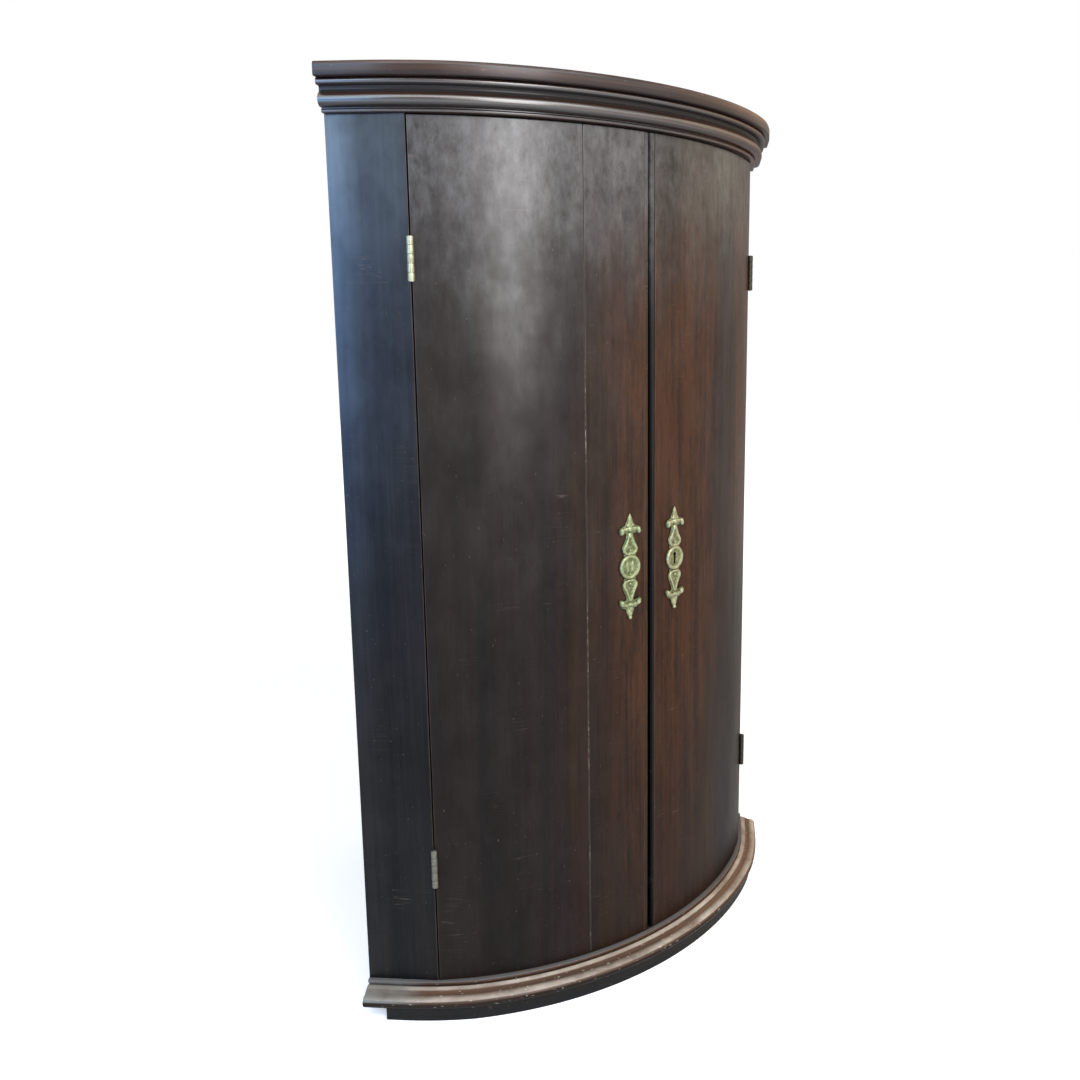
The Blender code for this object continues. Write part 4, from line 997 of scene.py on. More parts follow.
def linked(name: str, data: bpy.types.ID) -> Piece:
    """A new object in the scene with this data.

    Args:
        name: of the object.
        data: its mesh, light or camera.

    Returns:
        The object.
    """
    made = bpy.data.objects.new(name, data)
    bpy.context.scene.collection.objects.link(made)
    return made


def smooth(mesh: bpy.types.Mesh) -> None:
    """Shades a mesh smooth between its sharp edges."""
    mesh.shade_smooth()
    mesh.set_sharp_from_angle(angle=SMOOTH_ANGLE)


def mesh_object(name: str, shells: list[Shell]) -> Piece:
    """One object of several closed surfaces, with their board coordinates and their wear and painted
    shade as attributes.

    Args:
        name: of the object and its mesh.
        shells: the surfaces.

    Returns:
        The object, at the origin.
    """
    starts = np.cumsum([0] + [len(shell.points) for shell in shells])
    faces: list[list[int]] = []
    for shell, start in zip(shells, starts):
        faces += (shell.quads + start).tolist()
        faces += [(cap + start).tolist() for cap in shell.caps]
    mesh = bpy.data.meshes.new(name)
    mesh.from_pydata(concatenate([shell.points for shell in shells]).tolist(), [], faces)
    board = mesh.attributes.new("board", "FLOAT_VECTOR", "POINT")
    board.data.foreach_set("vector", concatenate([s.board for s in shells]).astype(np.float32).ravel())
    wear_and_shade = mesh.attributes.new("wear_and_shade", "FLOAT", "POINT")
    wear_and_shade.data.foreach_set("value", concatenate([s.wear_and_shade for s in shells]).astype(np.float32))
    mesh.update()
    smooth(mesh)
    return linked(name, mesh)


def carve(piece: Piece, cutter: Piece) -> None:
    """Cuts a shape out of a piece.

    Args:
        piece: what is cut, which gets a new mesh.
        cutter: the shape that is taken away, which is removed.
    """
    modifier = piece.modifiers.new("carve", "BOOLEAN")
    modifier.operation = "DIFFERENCE"
    modifier.solver = "EXACT"
    modifier.object = cutter
    bpy.context.view_layer.update()
    mesh = bpy.data.meshes.new_from_object(piece.evaluated_get(bpy.context.evaluated_depsgraph_get()))
    old = piece.data
    piece.modifiers.clear()
    piece.data = mesh
    bpy.data.meshes.remove(old)
    mesh.name = piece.name
    smooth(mesh)
    bpy.data.objects.remove(cutter)


def dress(piece: Piece, body: Body, slot: Slot, finish: Finish, *nodes: str) -> None:
    """Gives a piece its material and the body it rides on, and hides the nodes that it stands for.

    Args:
        piece: the piece.
        body: that carries it.
        slot: not used.
        finish: its surface.
        nodes: CAD nodes that it replaces.
    """
    piece.data.materials.clear()
    piece.data.materials.append(finish.value.build())
    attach(piece, body.value)
    if nodes:
        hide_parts(*nodes)
    log.info("%s: %d faces, on %s", piece.name, len(piece.data.polygons), body.value)


def finished(name: str, shells: list[Shell], body: Body, slot: Slot, finish: Finish, *nodes: str) -> None:
    """Makes a piece of some surfaces and dresses it."""
    dress(mesh_object(name, shells), body, slot, finish, *nodes)


def coat_nodes(finish: Finish, *names: str) -> None:
    """Gives CAD nodes that stay a material of their own.

    Args:
        finish: their surface.
        names: the nodes.
    """
    material = finish.value.build()
    for name in names:
        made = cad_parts[name]
        if not made.data.materials:
            made.data.materials.append(material)
        for slot in made.material_slots:
            slot.link = "OBJECT"
            slot.material = material
        log.info("%s: finished as %s", name, material.name)


# The plan of the front


@dataclass(frozen=True)
class Front:
    """The bow between two flat stiles, each square to its wall, as the frame has it."""

    radius: float = 0.434
    half_angle: float = radians(36.5)
    wall_angle: float = radians(45)
    stile_width: float = 0.084
    centre: float = 0.2169134
    step: float = 0.004
    blend: float = 0.042

    def reach(self) -> float:
        """Distance along the bow from its middle to a stile."""
        return self.half_angle * self.radius

    def on_bow(self, along: Array | float, inset: Array | float = 0.0) -> Array:
        """Plan points at distances to the right along the bow, and depths behind it: an angle of distance
        over radius, on a circle less by the depth."""
        turn, reach = np.asarray(along, float) / self.radius, self.radius - np.asarray(inset, float)
        return stack([reach * np.sin(turn), self.centre - reach * np.cos(turn)], -1)

    def bent(self, rows: Array) -> Array:
        """Rows of (distance, depth, height) laid round the bow."""
        return concatenate([self.on_bow(rows[..., 0], rows[..., 1]), rows[..., 2:]], -1)

    def hinge_line(self) -> Array:
        """Where the bow meets the left stile."""
        return self.on_bow(-self.reach())

    def outward(self) -> Array:
        """The direction along the left stile to its wall."""
        return array([-cos(self.wall_angle), sin(self.wall_angle)])

    def inward(self) -> Array:
        """The direction along the left wall to the corner."""
        return array([sin(self.wall_angle), cos(self.wall_angle)])

    def stile_end(self) -> Array:
        """The left stile's corner at its wall."""
        return self.hinge_line() + self.outward() * self.stile_width

    def corner(self, inset: float = 0.0) -> Array:
        """Where the two wall planes, each moved inwards, meet."""
        x, y = self.stile_end()
        return array([0.0, y - x / tan(self.wall_angle) - inset / sin(self.wall_angle)])

    def path(self) -> tuple[Array, Array, Array]:
        """The line of the front from wall to wall.

        Where stile and bow meet, a quadratic curve through three points eases the one into the other;
        the vector for one unit of projection is the line's normal everywhere.

        Returns:
            Plan points, projection vectors and distances along the line.
        """
        flat = array([1.0, 0.985, 0.85, 0.7, 0.6])
        straight = self.hinge_line() + self.outward() * (flat * self.stile_width)[:, None]
        share = linspace(0, 1, 15)[:, None]
        bend = self.reach() - self.blend
        start, end = self.hinge_line() + self.outward() * self.blend, self.on_bow(-bend)
        curve = (1 - share) ** 2 * start + 2 * share * (1 - share) * self.hinge_line() + share**2 * end
        left = concatenate([straight, curve])
        bow = self.on_bow(linspace(-bend, bend, int(ceil(2 * bend / self.step))))[1:-1]
        points = concatenate([left, bow, flipped(left[::-1])])
        ahead = unit(np.gradient(points, axis=0))
        return points, stack([ahead[:, 1], -ahead[:, 0]], -1), lengths_along(points)

    def facing(self, along: float, radius: float, height: float) -> Place:
        """Axes on the bow: the first along the front to the right, the second up, the third straight out.

        Args:
            along: distance to the right along the bow.
            radius: from the bow's centre.
            height: of the place.

        Returns:
            The place.
        """
        turn = along / self.radius
        across, up = array([cos(turn), sin(turn), 0.0]), array([0.0, 0.0, 1.0])
        spot = array([radius * sin(turn), self.centre - radius * cos(turn), height])
        return Place(spot, stack([across, up, np.cross(across, up)]))


class Levels:
    """Heights read from the frame."""

    def __init__(self) -> None:
        """Reads them."""
        mould, bed, cap, stave = (
            [corner.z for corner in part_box(name)]
            for name in ("base_mould", "cornice_bed_mould", "cornice_cap", "left_door_outer_stave")
        )
        self.plinth_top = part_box("plinth_board")[1].z
        self.carcase_foot, self.opening_floor = mould
        self.opening_top, self.carcase_top = bed
        self.cap_bottom, self.top = cap
        self.door_floor, self.door_top = stave


FRONT = Front()
LEVELS = Levels()


# Sub-assemblies


@dataclass(frozen=True)
class WearAndShade:
    """What a moulding's wear and painted shade are: heights where painted shade starts and is full, its
    share there and in hollows, heights of pale lines that are rubbed wear and painted highlight, and
    the height above which it is hardly worn."""

    shade_starts: float
    shade_full: float
    painted_shade: float
    hollows: float = 1.0
    rubbed: tuple[float, ...] = ()
    calm: float = 9.0


@dataclass(frozen=True)
class Mouldings:
    """Cornice cap, bed mould, base mould: profiles carried along the front from wall to wall."""

    cap_out: float = 0.0263
    cap_back: float = 0.02
    cap_lower_round: float = 0.0015
    cap_upper_round: float = 0.0045
    bead_radius: float = 0.002
    bead_out: float = 0.0075
    quirk_out: float = 0.0056
    quirk_rise: float = 0.0001
    roll_lift: float = 0.0008
    roll_radius: float = 0.0068
    roll_out: float = 0.0166
    roll_end: float = 62.0
    cove_radius: float = 0.0046
    fillet_out: float = 0.0205
    fillet_height: float = 0.0066
    base_fillet_out: float = 0.0055
    base_fillet_height: float = 0.0036
    base_fillet_round: float = 0.0005
    base_quirk_out: float = 0.0022
    base_quirk_height: float = 0.0018
    lip_radius: float = 0.0012
    ogee_start: float = 0.0066
    ogee_end: float = 0.0216
    ogee_drop: float = 0.0042
    ogee_share: float = 0.7
    nose_radius: float = 0.0063
    foot_out: float = 0.024
    # Width of the pale lines, which are rubbed wear and painted highlight.
    worn_highlight_width: float = 0.0014

    def carried(self, profile: Array, shift: float, use: WearAndShade) -> Shell:
        """A closed profile carried along the front.

        Each of its points stands at the line's point plus its projection times the line's projection
        vector there, at its own height.

        Args:
            profile: (projection, height) points, (P, 2).
            shift: moves the grain pattern.
            use: its wear, painted shade and painted highlight.

        Returns:
            The surface.
        """
        loop = anticlockwise(profile)
        height = loop[:, 1]
        points, normals, run = FRONT.path()
        plan = points[:, None] + loop[None, :, :1] * normals[:, None]
        ahead = unit(np.roll(loop, -1, axis=0) - np.roll(loop, 1, axis=0))
        down = clip(ahead[:, 0], 0, 1)
        wear_and_shade = arris(loop, 0.0016)
        # Faces turned down, and hollows, get wear and shade below nothing: painted shade under the rounds and
        # in the hollows.
        wear_and_shade = np.where(wear_and_shade < 0, wear_and_shade * use.hollows, wear_and_shade) * (1 - down) - 0.8 * down**1.5
        # A band of painted shade fades in from one height down to another.
        painted_shade = clip((use.shade_starts - height) / (use.shade_starts - use.shade_full), 0, 1)
        painted_shade = painted_shade * min(1.0, 9 * use.painted_shade)
        wear_and_shade = wear_and_shade * (1 - painted_shade) - use.painted_shade * painted_shade
        # Pale lines at given heights: rubbed wear and painted highlight.
        from_line = (height[:, None] - array(use.rubbed)) / self.worn_highlight_width
        wear_and_shade += 0.9 * np.exp(-(from_line**2)).sum(-1) * (1 - down)
        wear_and_shade = np.where((height > use.calm) & (wear_and_shade > 0), wear_and_shade * 0.25, clip(wear_and_shade, -1, 1))
        board = lifted(np.broadcast_to(loop[None], plan.shape) + shift, (run + shift)[:, None])
        return lofted(lifted(plan, height[None]), board, wear_and_shade[None])

    def cap(self) -> Shell:
        """The strip on top: a small round below, a full one above.

        Returns:
            The surface.
        """
        low, high, out, back = LEVELS.cap_bottom, LEVELS.top, self.cap_out, -self.cap_back
        small, large = self.cap_lower_round, self.cap_upper_round
        levels = linspace(low + small, high - large, 7)[1:-1]
        parts = [
            arc(out - small, low + small, small, -90, 0, 6),
            stack([0 * levels + out, levels], -1),
            arc(out - large, high - large, large, 0, 90, 12),
            array([[0.0, high], [back * 0.5, high], [back, high], [back, low]]),
        ]
        # Painted shade darkens the face from just under its top down to its small round.
        return self.carried(concatenate(parts), 0.31, WearAndShade(high - 0.0005, low + small, 0.34))

    def bed(self) -> Shell:
        """Bead, roll, cove and fillet, from the bottom up.

        Returns:
            The surface.
        """
        floor, top = LEVELS.opening_top, LEVELS.carcase_top
        bead, roll, cove = self.bead_radius, self.roll_radius, self.cove_radius
        fillet = self.fillet_height / 2
        roll_floor, turn = floor + 2 * bead + self.roll_lift, radians(self.roll_end)
        x, y = self.roll_out - roll, roll_floor + roll
        cove_x, cove_y = x + (roll + cove) * cos(turn), y + (roll + cove) * sin(turn)
        last = 180 - degrees(asin((top - self.fillet_height - cove_y) / cove))
        parts = [
            arc(self.bead_out - bead, floor + bead, bead, -90, 90, 12),
            array([[self.quirk_out, roll_floor + self.quirk_rise]]),
            arc(x, y, roll, -90, self.roll_end, 24),
            arc(cove_x, cove_y, cove, 180 + self.roll_end, last, 20)[1:],
            arc(self.fillet_out - fillet, top - fillet, fillet, -90, 90, 16),
            array([[SEAT, top], [SEAT, floor]]),
        ]
        # Painted shade darkens the roll from below its middle down to its foot, and more in the hollows.
        return self.carried(concatenate(parts), 0.77, WearAndShade(roll_floor + 0.8 * roll, roll_floor, 0.16, 1.6))

    def base(self) -> Shell:
        """Fillet, quirk, ogee and nose, from the doors down to the plinth.

        The ogee falls by its way across less a share of one turn's sine.

        Returns:
            The surface.
        """
        top, foot = LEVELS.opening_floor, LEVELS.carcase_foot
        fillet_floor = top - self.base_fillet_height
        quirk_floor = fillet_floor - self.base_quirk_height
        nose_top, lip_middle = quirk_floor - self.ogee_drop, quirk_floor - self.lip_radius
        soft, nose, quirk = self.base_fillet_round, self.nose_radius, self.base_quirk_out
        edge = self.base_fillet_out - soft
        share = linspace(0, 1, 25)
        fall = share - self.ogee_share * np.sin(FULL_TURN * share) / FULL_TURN
        across = self.ogee_start + (self.ogee_end - self.ogee_start) * share
        parts = [
            arc(edge, top - soft, soft, 90, 0, 3),
            arc(edge, fillet_floor + soft, soft, 0, -90, 3),
            array([[quirk, fillet_floor], [quirk, lip_middle]]),
            arc(self.ogee_start, lip_middle, self.lip_radius, 180, 90, 6)[:-1],
            stack([across, quirk_floor - self.ogee_drop * fall], -1),
            arc(self.ogee_end, nose_top - nose, nose, 80, -65, 24),
            array([[self.foot_out, foot], [SEAT, foot], [SEAT, top]]),
        ]
        # Pale lines at the lip and along the nose's top: rubbed wear and painted highlight.
        rubbed = (quirk_floor, nose_top - 0.12 * nose)
        # Painted shade darkens the nose from near its top down to its middle and underside.
        use = WearAndShade(nose_top - 0.35 * nose, nose_top - 0.95 * nose, 0.6, 0.15, rubbed, fillet_floor - 0.0006)
        return self.carried(concatenate(parts), 1.19, use)

    def build(self) -> None:
        """Makes and dresses the three mouldings."""
        body, cornice = Body.CARCASE, Slot.CORNICE
        finished("cap_moulding", [self.cap()], body, cornice, Finish.CAP, "cornice_cap")
        finished("bed_moulding", [self.bed()], body, cornice, Finish.BED, "cornice_bed_mould")
        finished("foot_moulding", [self.base()], body, Slot.BASE, Finish.BASE, "base_mould")


@dataclass(frozen=True)
class HingeRun:
    """Where the hinges' barrels run, and the notches that the wood gives them."""

    inset: float = 0.145
    length: float = 0.046
    proud: float = 0.0022
    gap: float = 0.0015
    barrel: float = 0.0037
    clearance: float = 0.0004

    def along(self) -> float:
        """Distance of the right hinges' axis from the middle of the bow."""
        return FRONT.reach() - self.gap / 2

    def heights(self) -> Pair:
        """Middles of the lower and upper hinges."""
        return LEVELS.opening_floor + self.inset, LEVELS.opening_top - self.inset

    def rows(self, step: float) -> Array:
        """Levels of a board's rows: equal steps, and pairs a hair apart at the ends of both notches.

        Args:
            step: between the equal ones.

        Returns:
            The levels.
        """
        half, hairs = self.length / 2 + SEAT, (-HAIR, HAIR)
        ends = [h + end * half + hair for h in self.heights() for end in (-1, 1) for hair in hairs]
        return concatenate([np.arange(LOWEST_ROW, HIGHEST_ROW, step), ends])

    def notched(self, rows: Array, side: int) -> Array:
        """Wood cleared away from the barrels: within a notch's height, a point nearer the axis than the
        notch's radius is moved straight out to that radius.

        Args:
            rows: places of a board's surface, (M, N, 3).
            side: -1 for the left hinges, 1 for the right.

        Returns:
            The places after the cut.
        """
        radius = self.barrel + self.clearance
        axis = FRONT.on_bow(side * self.along(), -self.proud)
        away = rows[..., :2] - axis
        distance = np.linalg.norm(away, axis=-1, keepdims=True)
        from_middles = np.abs(rows[..., 2, None] - array(self.heights()))
        inside = np.any(from_middles < self.length / 2 + SEAT, axis=-1, keepdims=True)
        pushed = axis + away / maximum(distance, 1e-9) * radius
        plan = np.where(inside & (distance < radius), pushed, rows[..., :2])
        return concatenate([plan, rows[..., 2:]], -1)


@dataclass(frozen=True)
class Uprights:
    """The two flat stiles, their inner edges planed to meet the bow, and the plinth board under all."""

    hinges: HingeRun
    rounding: float = 0.0007
    end_ease: float = 0.0003
    plinth_out: float = 0.021
    plinth_wall_inset: float = 0.026
    plinth_ease: float = 0.0005

    def stile(self, side: int) -> Shell:
        """One stile: a four-sided outline carried up.

        Args:
            side: -1 left, 1 right.

        Returns:
            The surface.
        """
        turn, inward = array([-side, 1.0]), FRONT.inward()
        end, line = FRONT.stile_end(), FRONT.hinge_line()
        to_centre = array([sin(FRONT.half_angle), cos(FRONT.half_angle)])
        slant = to_centre * BOARD / float(to_centre @ inward)
        corners = stack([end, end + inward * BOARD, line + slant, line]) * turn
        loop = divided(softened(corners, self.rounding), 0.004, line * turn)
        foot, top = LEVELS.carcase_foot, LEVELS.carcase_top
        rows, worn = raised(loop, foot, top, self.end_ease, self.hinges.rows(0.04))
        away = rows[..., :2] - end * turn
        across, depth = away @ (-FRONT.outward() * turn), away @ (inward * turn)
        board = stack([across + 2.1 * side, depth, rows[..., 2]], -1)
        return lofted(self.hinges.notched(rows, side), board, maximum(arris(loop)[None], 0.5 * worn))

    def plinth(self) -> Shell:
        """The base board: the plan of the front pushed out and cut back from both walls.

        Returns:
            The surface.
        """
        out, inset = self.plinth_out, self.plinth_wall_inset
        wall = FRONT.stile_end() - FRONT.outward() * inset - FRONT.inward() * out
        points, normals, _ = FRONT.path()
        line = points + normals * out
        inner = line[np.abs(line[:, 0]) < abs(wall[0]) - 0.002]
        loop = concatenate([FRONT.corner(inset)[None], wall[None], inner, flipped(wall)[None]])
        rows, worn = raised(divided(anticlockwise(loop), 0.012), 0.0, LEVELS.plinth_top, self.plinth_ease)
        return lofted(rows, rows[..., [1, 2, 0]] + 3.3, worn)

    def build(self) -> None:
        """Makes and dresses the stiles and the plinth."""
        for side, word in SIDES:
            shells = [self.stile(side)]
            finished(f"{word}_stile_board", shells, Body.CARCASE, Slot.STILES, Finish.STILE, f"{word}_stile")
        finished("plinth_base", [self.plinth()], Body.CARCASE, Slot.PLINTH, Finish.PLINTH, "plinth_board")


@dataclass(frozen=True)
class Carcase:
    """The pine inside: wall boards, rails, glue blocks, shelves and their bearers."""

    wall: float = 0.012
    shares: Colour = (0.36, 0.33, 0.31)
    joint: float = 0.0006
    # Depth behind the rails' front within which shade is painted.
    gap_shade: float = 0.003
    shelf_radius: float = 0.392
    shelf_wave: float = 0.028
    shelf_nosing: float = 0.0045
    nosing_reach: float = 0.01
    bearer: float = 0.018
    bearer_length: float = 0.3
    bearer_inset: float = 0.06
    block: Colour = (0.036, 0.022, 0.018)
    block_lip: float = 0.006
    block_angles: tuple[float, ...] = (-28.0, -10.0, 10.0, 28.0)

    @staticmethod
    def pine(name: str, shell: Shell, node: str) -> None:
        """Makes a piece of pine and dresses it."""
        finished(name, [shell], Body.CARCASE, Slot.PINE, Finish.PINE, node)

    def wall_place(self, side: int) -> Place:
        """Axes on the inside of a wall's plane: along the wall to the corner, into the room, and up.

        Args:
            side: -1 left, 1 right.

        Returns:
            The place.
        """
        turn = array([-side, 1.0])
        axes = np.eye(3)
        axes[:2, :2] = FRONT.inward() * turn, -FRONT.outward() * turn
        return Place(array([*(FRONT.stile_end() * turn), 0.0]), axes)

    def walls(self) -> None:
        """Three boards on each wall, of unequal widths, their edges lightly eased."""
        span = (LEVELS.carcase_foot, LEVELS.carcase_top)
        length = hypot(*(FRONT.corner() - FRONT.stile_end()))
        for side, word in SIDES:
            start = BOARD + SEAT
            total = length - start - (0.0 if side < 0 else self.wall + SEAT)
            for number, (name, share) in enumerate(zip(("front", "middle", "corner"), self.shares)):
                width = total * share - self.joint
                corners = box(start, start + width, 0.0, self.wall)
                shift = (5.0 + number * 1.7 + side, 0.3 * number, 0.4 * number)
                shell = slab(corners, span, 0.0006, 0.0007, self.wall_place(side), shift, spacing=0.04)
                self.pine(f"{word}_wall_plank_{name}", shell, f"{word}_wall_board_{name}")
                start += width + self.joint

    def rails(self) -> None:
        """Curved rails over and under the doors, bent round the bow from straight boards."""
        limit = FRONT.reach() - SEAT
        loop = divided(softened(box(-limit, limit, 0.0, BOARD), 0.001), 0.006)
        # The rails' front faces, where they show between the doors and the mouldings, get wear and shade
        # below nothing: painted shade of the gap.
        gap_shade = clip(2.0 - loop[:, 1] / self.gap_shade, 0, 1)
        for word, low, high, shift in (
            ("head", LEVELS.opening_top, LEVELS.carcase_top, 7.0),
            ("base", LEVELS.carcase_foot, LEVELS.opening_floor, 9.0),
        ):
            rows, worn = raised(loop, low, high, 0.0005)
            wear_and_shade = maximum(arris(loop)[None], worn) * (1 - gap_shade) - gap_shade
            shell = lofted(FRONT.bent(rows), rows[..., [1, 2, 0]] + shift, wear_and_shade)
            self.pine(f"{word}_rail_curve", shell, f"{word}_rail")

    def blocks(self) -> None:
        """Glue blocks behind the head rail: three-cornered, as they are split from a square."""
        width, height, depth = self.block
        half, inner = height / 2, FRONT.radius - BOARD
        corners = array([[-depth, -half], [0.0, -half], [0.0, half], [-self.block_lip, half]])
        for number, angle in enumerate(self.block_angles, 1):
            low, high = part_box(f"glue_block_{number}")
            back = inner - SEAT - width**2 / 8 / inner
            place = FRONT.facing(radians(angle) * FRONT.radius, back, (low.z + high.z) / 2)
            span, shift = (-width / 2, width / 2), (11.0 + number, 0.0, 0.0)
            shell = slab(corners, span, 0.0005, 0.0008, place.reordered(3, 2, -1), shift)
            self.pine(f"rubbed_block_{number}", shell, f"glue_block_{number}")

    def shelf(self, number: int) -> Shell:
        """A shelf whose front edge swells in the middle and at both ends, with a rounded nosing.

        The edge's radius is the shelf's less half its wave times one minus the cosine of two turns
        over the half width.

        Args:
            number: counted from the bottom.

        Returns:
            The surface.
        """
        low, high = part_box(f"shelf_{number}")
        inset, inward = self.wall + SEAT, FRONT.inward()
        corner, centre = FRONT.corner(inset), array([0.0, FRONT.centre])
        wall_point = FRONT.stile_end() - FRONT.outward() * inset
        reach = float((wall_point - centre) @ inward)
        miss = float((wall_point - centre) @ (wall_point - centre)) - reach**2
        start = wall_point + inward * (-reach - sqrt(self.shelf_radius**2 - miss))
        limit = atan2(-start[0], centre[1] - start[1])
        turn = linspace(-limit, limit, 145)
        radius = self.shelf_radius - self.shelf_wave * (1 - np.cos(FULL_TURN * turn / limit)) / 2
        edge = centre + polar(radius, turn - pi / 2)
        loop = divided(anticlockwise(concatenate([corner[None], edge])), 0.02)
        levels, insets, worn = eased(low.z, high.z, self.shelf_nosing)
        share = clip(1 - (loop[:, 1] - np.max(edge[:, 1])) / self.nosing_reach, 0, 1)
        toward = unit(corner - loop) * share[:, None]
        rows = lifted(loop[None] + toward[None] * insets[:, None, None], levels[:, None])
        return lofted(rows, rows[..., [1, 2, 0]] + 13.0 + number, worn[:, None] * 0.5)

    def shelves(self) -> None:
        """The shelves, each on a bearer along each wall."""
        near, depth = self.bearer_inset, self.wall + SEAT
        corners = box(near, near + self.bearer_length, depth, depth + self.bearer)
        for number in (1, 2, 3):
            self.pine(f"shaped_shelf_{number}", self.shelf(number), f"shelf_{number}")
            for side, word in SIDES:
                low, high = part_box(f"shelf_{number}_{word}_bearer")
                shift = (17.0 + number, side * 2.0, 0.0)
                shell = slab(corners, (low.z, high.z), 0.0012, 0.002, self.wall_place(side), shift, along=0)
                self.pine(f"shelf_{number}_{word}_batten", shell, f"shelf_{number}_{word}_bearer")

    def build(self) -> None:
        """Makes and dresses the pine."""
        self.walls()
        self.rails()
        self.blocks()
        self.shelves()
        coat_nodes(Finish.END_BOARDS, "top_board", "bottom_board")


@dataclass(frozen=True)
class Keyhole:
    """A round head over a straight slot, open at the foot."""

    width: float = 0.0036
    head: float = 0.0028
    height: float = 0.015
    depth: float = 0.05

    def loop(self) -> Array:
        """Its outline about its own middle: most of a circle, and the slot below it.

        Returns:
            The loop, anticlockwise.
        """
        start, half, foot = asin(self.width / 2 / self.head), self.width / 2, -self.height / 2
        turn = linspace(-pi / 2 + start, 3 * pi / 2 - start, 25)
        head = array([0.0, self.height / 2 - self.head]) + polar(self.head, turn)
        return anticlockwise(concatenate([head, [[-half, foot], [half, foot]]]))

    def round_rows(self, turn: Array) -> Array:
        """The outline's points at these angles about a point in it: its radius read off against its angle.

        Args:
            turn: rising angles.

        Returns:
            One point for each.
        """
        middle = array([0.0, self.height / 2 - 1.75 * self.head])
        loop = divided(self.loop(), 0.0002) - middle
        angle = np.arctan2(loop[:, 1], loop[:, 0]) % FULL_TURN
        order = np.argsort(angle)
        radius = np.interp(turn, angle[order], np.hypot(*loop[order].T), period=FULL_TURN)
        return middle + polar(radius, turn)

    def cutter(self, place: Place) -> Piece:
        """A prism of this outline through a place."""
        rows = prism(self.loop(), array([-self.depth, self.depth]), np.zeros(2))
        return mesh_object("keyhole_cutter", [lofted(place.put(rows), rows, 0.0)])


